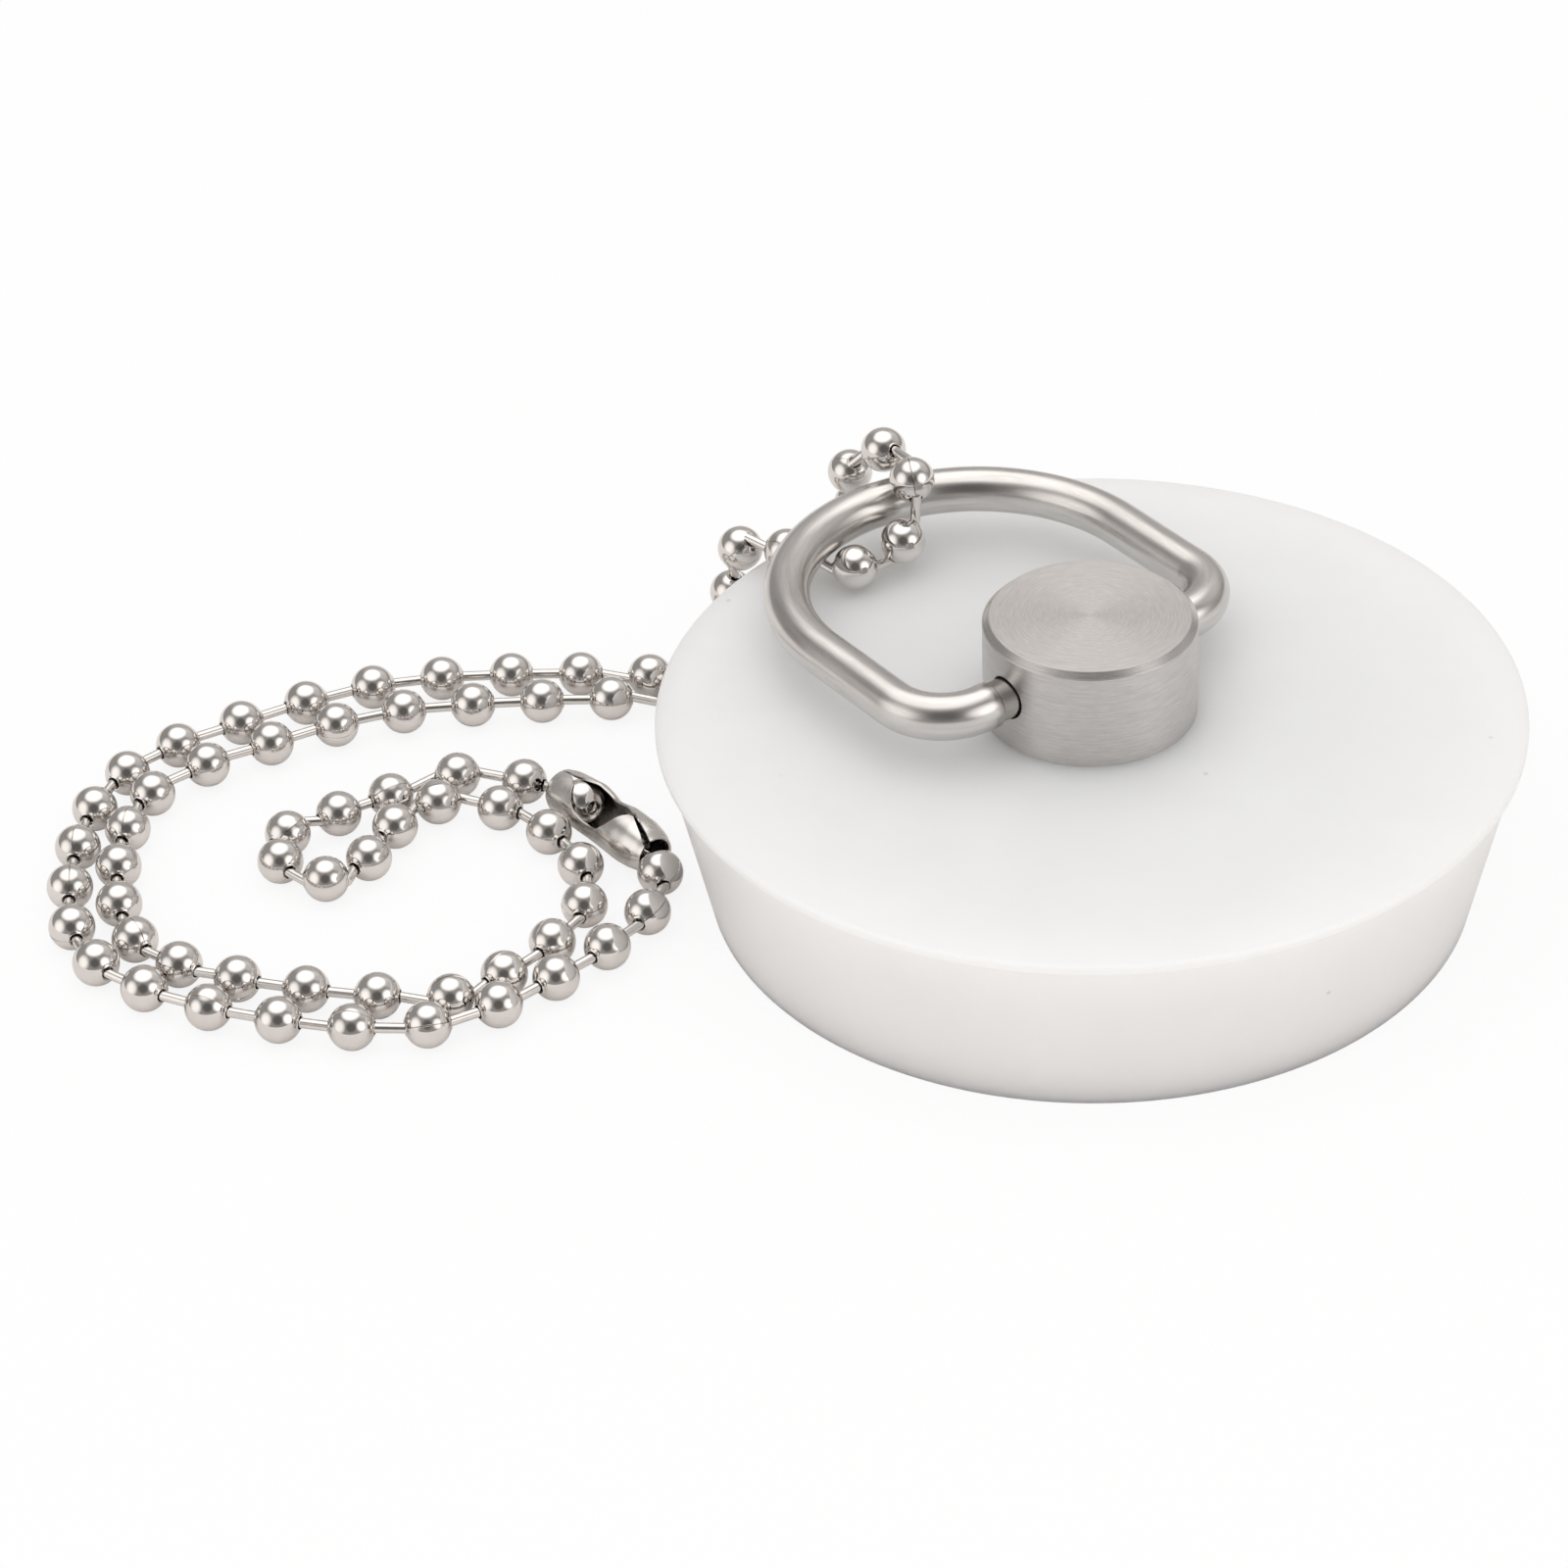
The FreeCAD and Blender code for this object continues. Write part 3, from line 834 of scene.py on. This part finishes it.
    def run(self, name: str, seed: "Row", ball: bpy.types.Object, pin_radius: float,
            finishes: tuple[bpy.types.Material, bpy.types.Material]) -> bpy.types.Object:
        """Turn a row of marks into a plain mesh of balls and pins.

        Args:
            name: Name of the piece.
            seed: The marks: ball points and pin edges.
            ball: The ball to repeat.
            pin_radius: Radius of the pins.
            finishes: Materials of the balls and of the pins.

        Returns:
            The finished object, at the origin.
        """
        thing = seed.marks(name)
        modifier = thing.modifiers.new("chain", "NODES")
        modifier.node_group = self.tree
        modifier[self.sockets["Ball"]] = ball
        modifier[self.sockets["Pin Radius"]] = pin_radius
        modifier[self.sockets["Pin Sides"]] = self.pin_sides
        modifier[self.sockets["Roll Seed"]] = seed.seed
        modifier[self.sockets["Ball Finish"]] = finishes[0]
        modifier[self.sockets["Pin Finish"]] = finishes[1]
        depsgraph = bpy.context.evaluated_depsgraph_get()
        mesh = bpy.data.meshes.new_from_object(thing.evaluated_get(depsgraph))
        thing.modifiers.remove(modifier)
        thing.data = mesh
        mesh.name = name
        outward(thing)
        smooth(thing, 50.0)
        return thing


@dataclass
class Row:
    """Marks for a row of balls and the pins between them."""

    seed: int
    ball_radius: float
    pin_sink: float = 0.35 * MM
    balls: list[tuple[Vector, Vector, float]] = field(default_factory=list)
    pins: list[tuple[Vector, Vector, float, float]] = field(default_factory=list)

    def add_balls(self, centres: list[Vector], axes: list[Vector], sways: list[float]) -> None:
        """Mark balls by centre, hole axis and share of the bail's swing."""
        self.balls += list(zip(centres, axes, sways))

    def add_pin(self, start: tuple[Vector, Vector, float], end: tuple[Vector, Vector, float]) -> None:
        """Mark a pin from one ball's far hole to the next ball's near hole."""
        low = start[0] + start[1] * self.ball_radius
        high = end[0] - end[1] * self.ball_radius
        way = (high - low).normalized() * self.pin_sink
        self.pins.append((low - way, high + way, start[2], end[2]))

    def marks(self, name: str) -> bpy.types.Object:
        """A mesh of loose ball points and pin edges, with what the node tree reads."""
        points = [ball[0] for ball in self.balls]
        axes = [ball[1] for ball in self.balls]
        sways = [ball[2] for ball in self.balls]
        edges = []
        for low, high, low_sway, high_sway in self.pins:
            edges.append((len(points), len(points) + 1))
            points += [low, high]
            axes += [Vector((0, 0, 1))] * 2
            sways += [low_sway, high_sway]
        mesh = bpy.data.meshes.new(name + "_marks")
        mesh.from_pydata(points, edges, [])
        kinds = [index < len(self.balls) for index in range(len(points))]
        mesh.attributes.new("is_ball", "BOOLEAN", "POINT").data.foreach_set("value", kinds)
        mesh.attributes.new("axis", "FLOAT_VECTOR", "POINT").data.foreach_set(
            "vector", np.array(axes, np.float32).ravel()
        )
        mesh.attributes.new("sway", "FLOAT", "POINT").data.foreach_set("value", sways)
        thing = bpy.data.objects.new(name, mesh)
        bpy.context.scene.collection.objects.link(thing)
        return thing


@dataclass
class Strand:
    """One strand of the chain, from the bail to the clasp, by its route in millimetres."""

    name: str
    route: list[Point]
    stretches: list[tuple[str, int, float]]
    seed: int
    swaying_balls: int = 22

    def spline(self) -> np.ndarray:
        """Points read from the route's smooth spline, in metres."""
        curve = bpy.data.curves.new(self.name + "_route", "CURVE")
        curve.dimensions = "3D"
        curve.resolution_u = 40
        line = curve.splines.new("NURBS")
        line.points.add(len(self.route) - 1)
        for mark, place in zip(line.points, self.route):
            mark.co = (place[0] * MM, place[1] * MM, place[2] * MM, 1.0)
        line.order_u = 3
        line.use_endpoint_u = True
        holder = bpy.data.objects.new(self.name + "_route", curve)
        bpy.context.scene.collection.objects.link(holder)
        depsgraph = bpy.context.evaluated_depsgraph_get()
        mesh = bpy.data.meshes.new_from_object(holder.evaluated_get(depsgraph))
        points = np.array([vertex.co[:] for vertex in mesh.vertices])
        bpy.data.objects.remove(holder)
        bpy.data.meshes.remove(mesh)
        return points

    def centres(self, points: np.ndarray) -> list[Vector]:
        """Ball centres along the spline, each stretch at its own pitch."""
        steps = np.linalg.norm(np.diff(points, axis=0), axis=1)
        travelled = np.concatenate([[0.0], np.cumsum(steps)])
        pitches = np.concatenate([[pitch] * count for _, count, pitch in self.stretches])
        marks = np.concatenate([[0.0], np.cumsum(pitches)]) * travelled[-1] / pitches.sum()
        places = [np.interp(marks, travelled, points[:, axis]) for axis in range(3)]
        return [Vector(place) for place in zip(*places)]

    def sway(self, index: int) -> float:
        """Share of the bail's swing that a ball takes, falling off along the strand."""
        return max(0.0, 1.0 - (index + 1) / (self.swaying_balls + 1))

    def nodes(self) -> list[str]:
        """Names of the solids that this strand stands for."""
        return [name + kind for name, _, _ in self.stretches for kind in ("_balls", "_pins")]


@dataclass
class BallChain:
    """The doubled ball chain: a saddle round the bail and two strands to the clasp."""

    bail: Bail
    ball: Ball = field(default_factory=Ball)
    pin_radius: float = 0.275 * MM
    end_hole: Point = (0.52, -0.83, 0.2)
    saddle: list[Point] = field(default_factory=lambda: [
        (-4.2, 20.7, -1.57), (-2.3, 17.0, -1.57), (0.7, 16.6, -0.9),
        (2.1, 17.5, 2.1), (2.8, 21.0, 2.1), (2.3, 23.5, -0.3),
    ])
    inner: Strand = field(default_factory=lambda: Strand(
        "chain_inner_strand",
        [
            (-18.2, 16.1, 11.0), (-18.6, 17.3, 8.3), (-19.3, 17.8, 4.2), (-20.2, 16.7, 1.25),
            (-24.4, 16.2, 1.25), (-30.4, 16.3, 1.25), (-38.6, 15.9, 1.25), (-46.1, 12.6, 1.25),
            (-51.8, 9.1, 1.25), (-52.8, 1.2, 1.25), (-51.1, -6.6, 1.25), (-40.7, -10.4, 1.25),
            (-31.5, -11.4, 1.25), (-31.5, -8.6, 1.25), (-26.9, -5.1, 1.25), (-27.3, 2.0, 1.25),
            (-33.9, 7.8, 1.25), (-37.8, 5.1, 1.25), (-39.9, -1.4, 1.25), (-45.1, 2.7, 1.25),
            (-43.3, 4.6, 1.25), (-37.2, 7.9, 1.25), (-33.9, 9.6, 1.25), (-31.3, 9.0, 1.25),
            (-27.4, 5.8, 1.55),
        ],
        [
            ("inner_riser", 4, 3.89), ("inner_back_run", 7, 3.91), ("inner_left_bend", 6, 3.49),
            ("inner_front_run", 4, 3.85), ("inner_right_bend", 6, 3.67), ("inner_hook", 7, 3.18),
            ("inner_tail", 3, 4.03),
        ],
        seed=11,
    ))
    outer: Strand = field(default_factory=lambda: Strand(
        "chain_outer_strand",
        [
            (-11.6, 22.3, 9.8), (-12.0, 24.2, 6.2), (-13.5, 25.6, 2.5), (-15.9, 25.1, 1.25),
            (-19.4, 20.2, 1.25), (-22.4, 18.0, 1.25), (-28.3, 19.1, 1.25), (-38.3, 19.0, 1.25),
            (-45.4, 16.1, 1.25), (-53.2, 11.4, 1.25), (-55.2, 3.8, 1.25), (-54.6, -5.9, 1.25),
            (-48.0, -11.0, 1.25), (-36.8, -14.1, 1.25), (-30.6, -11.7, 1.25), (-22.9, -4.3, 1.25),
            (-23.3, 2.1, 1.25), (-24.8, 2.2, 1.55),
        ],
        [
            ("outer_riser", 5, 4.27), ("outer_back_run", 7, 3.96), ("outer_left_bend", 7, 3.67),
            ("outer_front_run", 5, 3.95), ("outer_right_bend", 5, 3.65),
        ],
        seed=23,
    ))

    def axes(self, before: Vector, centres: list[Vector]) -> list[Vector]:
        """Hole axis of each ball: along the line between its two neighbours."""
        line = [before] + centres + [centres[-1] * 2 - centres[-2]]
        return [(line[index + 2] - line[index]).normalized() for index in range(len(centres))]

    def build(self) -> tuple[Vector, Vector]:
        """Make the saddle, both strands and the two end balls.

        Returns:
            Centres of the inner and the outer strand's end balls.
        """
        self.tree = ChainTree()
        self.pattern = self.ball.build()
        self.finishes = (
            PlatedFinish("bead_nickel").material(),
            PlatedFinish("pin_steel", roughness=0.12, dents=2500.0).material(),
        )
        self.held = [self.bail.place((along * MM, out * MM, up * MM)) for along, out, up in self.saddle]
        self.lines = {strand.name: strand.spline() for strand in (self.inner, self.outer)}
        inner = self.inner.centres(self.lines[self.inner.name])
        outer = self.outer.centres(self.lines[self.outer.name])
        round_bail = [inner[0]] + self.held + [outer[0]]
        saddle_axes = [
            (round_bail[index + 2] - round_bail[index]).normalized() for index in range(len(self.held))
        ]
        self.build_saddle(saddle_axes)
        self.strands = {
            self.inner.name: self.build_strand(self.inner, inner, self.held[0], -saddle_axes[0]),
            self.outer.name: self.build_strand(self.outer, outer, self.held[-1], saddle_axes[-1]),
        }
        self.build_ends(inner, outer)
        bpy.data.objects.remove(self.pattern)
        return inner[-1], outer[-1]

    def build_saddle(self, axes: list[Vector]) -> None:
        """The balls that grip the bail and ride on it."""
        row = Row(seed=5, ball_radius=self.ball.radius)
        marks = [(centre, axis, 1.0) for centre, axis in zip(self.held, axes)]
        row.add_balls(self.held, axes, [1.0] * len(axes))
        for start, end in zip(marks, marks[1:]):
            row.add_pin(start, end)
        saddle = self.tree.run("chain_saddle", row, self.pattern, self.pin_radius, self.finishes)
        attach(saddle, Body.BAIL.value)
        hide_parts("saddle_balls", "saddle_pins")

    def build_strand(self, strand: Strand, centres: list[Vector], tied: Vector,
                     tied_axis: Vector) -> bpy.types.Object:
        """One strand with its pins; its balls carry a share of the bail's swing as an attribute.
            centres: Its ball centres, the clasp's end ball last.
            tied: Centre of the saddle ball that it hangs from.
            tied_axis: That ball's hole axis, towards the strand.

        Returns:
            The strand's object.
        """
        row = Row(seed=strand.seed, ball_radius=self.ball.radius)
        axes = self.axes(tied, centres)
        sways = [strand.sway(index) for index in range(len(centres))]
        row.add_balls(centres[:-1], axes[:-1], sways[:-1])
        marks = [(tied, tied_axis, 1.0)] + list(zip(centres, axes, sways))
        for start, end in zip(marks, marks[1:]):
            row.add_pin(start, end)
        thing = self.tree.run(strand.name, row, self.pattern, self.pin_radius, self.finishes)
        shares = np.zeros(len(thing.data.vertices), np.float32)
        thing.data.attributes["sway"].data.foreach_get("value", shares)
        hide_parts(*strand.nodes())
        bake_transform(thing)
        return thing

    def build_ends(self, inner: list[Vector], outer: list[Vector]) -> None:
        """The two balls that the clasp holds."""
        row = Row(seed=3, ball_radius=self.ball.radius)
        ends = [inner[-1], outer[-1]]
        axes = [Vector(self.end_hole).normalized(), (outer[-1] - outer[-2]).normalized()]
        row.add_balls(ends, axes, [0.0, 0.0])
        balls = self.tree.run("chain_end_balls", row, self.pattern, self.pin_radius, self.finishes)
        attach(balls, Body.STOPPER.value)
        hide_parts("clasp_end_balls")
        self.ends = balls

    def declare(self) -> None:
        """Cut each strand's route short by a ball's radius at its clasp end; the result is not kept."""
        for strand in (self.inner, self.outer):
            line = self.lines[strand.name]
            travelled = np.cumsum(np.linalg.norm(np.diff(line, axis=0), axis=1))
            length = float(travelled[-1]) - self.ball.radius
            line = line[: 1 + int(np.searchsorted(travelled, length))]


@dataclass
class Clasp:
    """The folded sheet clasp: a hood over one end ball, a window, and a flap over the other.

    The tables run along the clasp in millimetres from its middle. Edges are degrees from the top.
    """

    wall: float = 0.13 * MM
    start: float = -3.95 * MM
    finish: float = 4.5 * MM
    front_radius: Outline = field(default_factory=lambda: [
        (-3.95, 1.2), (-3.6, 1.42), (-2.5, 1.47), (-1.5, 1.43), (0.0, 1.38), (1.3, 1.38), (2.3, 1.4),
        (3.2, 1.32), (4.0, 1.14), (4.5, 0.92),
    ])
    back_radius: Outline = field(default_factory=lambda: [
        (-3.95, 1.08), (-3.4, 1.28), (-2.5, 1.4), (-1.4, 1.54), (-0.6, 1.44), (0.25, 1.28), (0.9, 1.42),
        (1.5, 1.54), (3.1, 1.55), (4.0, 1.4), (4.5, 1.16),
    ])
    front_edge: Outline = field(default_factory=lambda: [
        (-3.95, 3.0), (-2.8, 4.0), (-2.4, 14.0), (-1.89, 41.0), (-1.25, 68.0), (-0.31, 78.0),
        (0.5, 76.0), (0.93, 71.0), (1.3, 57.0), (1.65, 41.0), (1.98, 10.0), (2.4, -8.0), (3.0, 2.0),
        (3.9, 16.0), (4.5, 34.0),
    ])
    back_edge: Outline = field(default_factory=lambda: [
        (-3.95, 1.0), (-2.8, 3.0), (-2.3, 10.0), (-1.4, 28.0), (0.0, 36.0), (0.9, 30.0),
        (1.5, 22.0), (2.4, 16.0), (3.1, 6.0), (4.0, -3.0), (4.5, -10.0),
    ])
    front_lean: float = 130.0
    blur: float = 0.18
    rows: int = 130
    columns: int = 60

    def read(self, table: Outline, along: float) -> float:
        """Value of a table at a place along the clasp, with its corners eased."""
        places, values = zip(*table)
        near = np.linspace(-self.blur, self.blur, 9) + along / MM
        return float(np.interp(near, places, values).mean())

    def radius(self, along: float, degrees: float) -> float:
        """Outer radius of the sheet, blended from its front profile to its back one."""
        back = 0.5 - 0.5 * math.cos(math.radians(degrees - self.front_lean))
        front = self.read(self.front_radius, along)
        return (front + (self.read(self.back_radius, along) - front) * back) * MM

    def build(self, first: Vector, last: Vector) -> bpy.types.Object:
        """Make the clasp between the two end balls and dress it."""
        way = (last - first).normalized()
        front = Vector((way.y, -way.x, 0))
        up = Vector((0, 0, 1))
        middle = (first + last) / 2
        points, faces = [], []
        for row in range(self.rows + 1):
            along = self.start + (self.finish - self.start) * row / self.rows
            front_edge = self.read(self.front_edge, along)
            span = 360 - self.read(self.back_edge, along) - front_edge
            for column in range(self.columns + 1):
                degrees = front_edge + span * column / self.columns
                angle = math.radians(degrees)
                spoke = up * math.cos(angle) + front * math.sin(angle)
                radius = self.radius(along, degrees) - self.wall / 2
                points.append(middle + way * along + spoke * radius)
        for row in range(self.rows):
            for column in range(self.columns):
                low = row * (self.columns + 1) + column
                high = low + self.columns + 1
                faces.append([low, low + 1, high + 1, high])
        clasp = mesh_object("clasp_sheet", points, faces)
        self.thicken(clasp)
        smooth(clasp, 40.0)
        dress(clasp, PlatedFinish("clasp_steel", roughness=0.24, dents=900.0).material())
        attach(clasp, Body.STOPPER.value)
        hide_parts("chain_clasp")
        return clasp

    def thicken(self, clasp: bpy.types.Object) -> None:
        """Give the sheet its thickness, half each way, and make it real."""
        wall = clasp.modifiers.new("wall", "SOLIDIFY")
        wall.thickness = self.wall
        wall.offset = 0.0
        wall.use_even_offset = True
        depsgraph = bpy.context.evaluated_depsgraph_get()
        mesh = bpy.data.meshes.new_from_object(clasp.evaluated_get(depsgraph))
        clasp.modifiers.remove(wall)
        clasp.data = mesh
        outward(clasp)


@dataclass
class PhotoCamera:
    """The camera that took the photograph."""

    place: Point = (-16.299 * MM, -220.533 * MM, 160.442 * MM)
    pitch: float = math.radians(34.965)
    roll: float = math.radians(-2.2667)
    lens: float = 115.947
    sensor: float = 36.0

    def build(self) -> None:
        """Make the camera and set it."""
        data = bpy.data.cameras.new("photo_camera")
        data.sensor_fit = "HORIZONTAL"
        data.sensor_width = self.sensor
        data.lens = self.lens
        data.clip_start = 0.01
        data.clip_end = 20.0
        camera = bpy.data.objects.new("photo_camera", data)
        aim = Vector((0, math.cos(self.pitch), -math.sin(self.pitch)))
        level = Vector((1, 0, 0))
        rise = Vector((0, math.sin(self.pitch), math.cos(self.pitch)))
        right = level * math.cos(self.roll) + rise * math.sin(self.roll)
        up = rise * math.cos(self.roll) - level * math.sin(self.roll)
        turn = Matrix((right, up, -aim)).transposed()
        camera.matrix_world = Matrix.Translation(Vector(self.place)) @ turn.to_4x4()
        bpy.context.scene.collection.objects.link(camera)
        bpy.context.scene.camera = camera


@dataclass(frozen=True)
class Patch:
    """A soft patch of the studio's tent, lighter or darker than the rest."""

    way: Point
    wide: float
    narrow: float
    level: float


@dataclass
class Studio:
    """White table, soft lamps and a grey tent that only polished metal sees."""

    floor_size: float = 6.0
    floor_drop: float = 0.03 * MM
    floor_colour: Colour = (0.92, 0.92, 0.92, 1.0)
    bounce_colour: Colour = (0.87, 0.83, 0.803, 1.0)
    camera_share: float = 0.86
    glossy_share: float = 0.06
    sky_light: float = 0.75
    key_size: float = 0.9
    key_power: float = 1.7
    fill_size: float = 0.8
    fill_power: float = 1.4
    fill_colour: Point = (1.0, 0.94, 0.9)
    side_size: float = 0.6
    side_power: float = 0.25
    tent_radius: float = 1.5
    tent_tone: Point = (1.0, 0.968, 0.942)
    tent_shade: float = 0.34
    patches: tuple[Patch, ...] = (
        Patch((-0.05, 0.24, 0.97), 43.0, 22.0, 1.25),
        Patch((0.1, 0.86, 0.5), 44.0, 10.0, 0.2),
        Patch((0.62, 0.45, 0.64), 35.0, 8.0, 0.3),
        Patch((-0.866, -0.378, 0.328), 36.0, 6.0, 1.0),
        Patch((0.762, -0.498, 0.414), 29.0, 6.0, 1.25),
        Patch((0.93, -0.3, 0.22), 30.0, 6.0, 0.35),
        Patch((0.0, -0.82, 0.573), 31.0, 12.0, -0.21),
    )

    def seen_directly(self, shader: Shader) -> bpy.types.NodeSocket:
        """Share of the table's own glow: for the camera, for polished metal and through glass."""
        path = shader.add("ShaderNodeLightPath")
        straight = shader.add("ShaderNodeMath", operation="MAXIMUM")
        shader.link(path.outputs["Is Camera Ray"], straight.inputs[0])
        shader.link(path.outputs["Is Transmission Ray"], straight.inputs[1])
        shares = []
        for source, share in (
            (straight.outputs["Value"], self.camera_share), (path.outputs["Is Glossy Ray"], self.glossy_share)
        ):
            scaled = shader.add("ShaderNodeMath", operation="MULTIPLY")
            scaled.inputs[1].default_value = share
            shader.link(source, scaled.inputs[0])
            shares.append(scaled.outputs["Value"])
        both = shader.add("ShaderNodeMath", operation="MAXIMUM")
        shader.link(shares[0], both.inputs[0])
        shader.link(shares[1], both.inputs[1])
        return both.outputs["Value"]

    def floor(self) -> None:
        """White table that keeps a faint shadow and bounces a warm light."""
        half, low = self.floor_size / 2, -self.floor_drop
        table = mesh_object(
            "table", [(-half, -half, low), (half, -half, low), (half, half, low), (-half, half, low)],
            [[0, 1, 2, 3]],
        )
        shader = Shader("white_table")
        shader.set(Roughness=0.9, Specular_IOR_Level=0.0)
        seen = self.seen_directly(shader)
        shader.tint(seen, self.bounce_colour, self.floor_colour)
        glow = shader.add("ShaderNodeEmission", Strength=1.0)
        mix = shader.add("ShaderNodeMixShader")
        shader.link(seen, mix.inputs["Fac"])
        shader.link(shader.surface.outputs["BSDF"], mix.inputs[1])
        shader.link(glow.outputs["Emission"], mix.inputs[2])
        shader.link(mix.outputs["Shader"], shader.nodes["Material Output"].inputs["Surface"])
        table.data.materials.append(shader.material)

    def sky(self) -> None:
        """White surround behind the table, with a softer light on the object."""
        world = bpy.data.worlds.new("studio")
        bpy.context.scene.world = world
        world.use_nodes = True
        nodes, links = world.node_tree.nodes, world.node_tree.links
        path = nodes.new("ShaderNodeLightPath")
        first = nodes.new("ShaderNodeMath")
        both = nodes.new("ShaderNodeMath")
        first.operation = both.operation = "MAXIMUM"
        links.new(path.outputs["Is Camera Ray"], first.inputs[0])
        links.new(path.outputs["Is Glossy Ray"], first.inputs[1])
        links.new(first.outputs["Value"], both.inputs[0])
        links.new(path.outputs["Is Transmission Ray"], both.inputs[1])
        level = nodes.new("ShaderNodeMapRange")
        level.inputs["To Min"].default_value = self.sky_light
        level.inputs["To Max"].default_value = 1.0
        links.new(both.outputs["Value"], level.inputs["Value"])
        nodes["Background"].inputs["Color"].default_value = (1, 1, 1, 1)
        links.new(level.outputs["Result"], nodes["Background"].inputs["Strength"])

    def toward(self, shader: Shader, patch: Patch) -> bpy.types.NodeSocket:
        """Brightness that one patch adds at each place of the tent."""
        coordinates = shader.add("ShaderNodeTexCoord")
        unit = shader.add("ShaderNodeVectorMath", operation="NORMALIZE")
        shader.link(coordinates.outputs["Object"], unit.inputs[0])
        near = shader.add("ShaderNodeVectorMath", operation="DOT_PRODUCT")
        shader.link(unit.outputs["Vector"], near.inputs[0])
        near.inputs[1].default_value = Vector(patch.way).normalized()
        fade = shader.add(
            "ShaderNodeMapRange", interpolation_type="SMOOTHSTEP",
            From_Min=math.cos(math.radians(patch.wide)), From_Max=math.cos(math.radians(patch.narrow)),
            To_Min=0.0, To_Max=patch.level,
        )
        shader.link(near.outputs["Value"], fade.inputs["Value"])
        return fade.outputs["Result"]

    def tent(self) -> None:
        """Grey tent with soft windows and a dark side behind the camera."""
        steps, rises = 48, 12
        points = [
            (
                self.tent_radius * math.cos(turn) * math.cos(rise),
                self.tent_radius * math.sin(turn) * math.cos(rise),
                self.tent_radius * math.sin(rise),
            )
            for rise in (math.pi / 2 * row / rises for row in range(rises))
            for turn in (2 * math.pi * step / steps for step in range(steps))
        ]
        points.append((0.0, 0.0, self.tent_radius))
        faces = []
        for row in range(rises):
            for step in range(steps):
                low, beside = row * steps + step, row * steps + (step + 1) % steps
                over = [beside + steps, low + steps] if row < rises - 1 else [rises * steps]
                faces.append([low, beside, *over])
        tent = mesh_object("studio_tent", points, faces)
        shader = Shader("studio_tent")
        glow = shader.add("ShaderNodeEmission", Color=(*self.tent_tone, 1.0))
        level = shader.add("ShaderNodeValue")
        level.outputs["Value"].default_value = self.tent_shade
        for patch in self.patches:
            added = shader.add("ShaderNodeMath", operation="ADD")
            shader.link(level.outputs["Value"], added.inputs[0])
            shader.link(self.toward(shader, patch), added.inputs[1])
            level = added
        shader.link(level.outputs["Value"], glow.inputs["Strength"])
        shader.link(glow.outputs["Emission"], shader.nodes["Material Output"].inputs["Surface"])
        tent.data.materials.append(shader.material)
        tent.visible_camera = False
        tent.visible_diffuse = False
        tent.visible_shadow = False
        tent.visible_transmission = False

    def lamp(self, name: str, place: Point, size: float, power: float, colour: Point) -> None:
        """A square soft lamp that faces the object and leaves no glint of its own.

        Args:
            name: Name of the lamp.
            place: Where it hangs.
            size: Its side in metres.
            power: Its power in watts.
            colour: Its colour.
        """
        data = bpy.data.lights.new(name, "AREA")
        data.shape = "SQUARE"
        data.size = size
        data.energy = power
        data.color = colour
        lamp = bpy.data.objects.new(name, data)
        lamp.location = place
        lamp.rotation_euler = (-Vector(place)).to_track_quat("-Z", "Y").to_euler()
        lamp.visible_glossy = False
        bpy.context.scene.collection.objects.link(lamp)

    def build(self) -> None:
        """Set up the table, the surround, the tent and the lamps."""
        self.floor()
        self.sky()
        self.tent()
        self.lamp("key_softbox", (-0.05, -0.12, 0.62), self.key_size, self.key_power, (1.0, 1.0, 1.0))
        self.lamp("front_fill", (0.22, -0.88, 0.4), self.fill_size, self.fill_power, self.fill_colour)
        self.lamp("left_fill", (-0.85, 0.05, 0.32), self.side_size, self.side_power, self.fill_colour)
        bpy.context.scene.view_settings.view_transform = "Standard"


def report(piece: str) -> None:
    """Log one finished piece."""
    LOG.info("made %s", piece)


def main() -> None:
    """Build every piece in order."""
    logging.basicConfig(level=logging.INFO)
    PhotoCamera().build()
    Studio().build()
    bail = Bail()
    chain = BallChain(bail)
    first, last = chain.build()
    report("chain")
    clasp = Clasp().build(first, last)
    chain.declare()
    report(clasp.name)
    report(Plug().build().name)
    report(Boss().build().name)
    Fixing().build()
    report("fixing")
    report(bail.build().name)


if __name__ == "__main__":
    main()
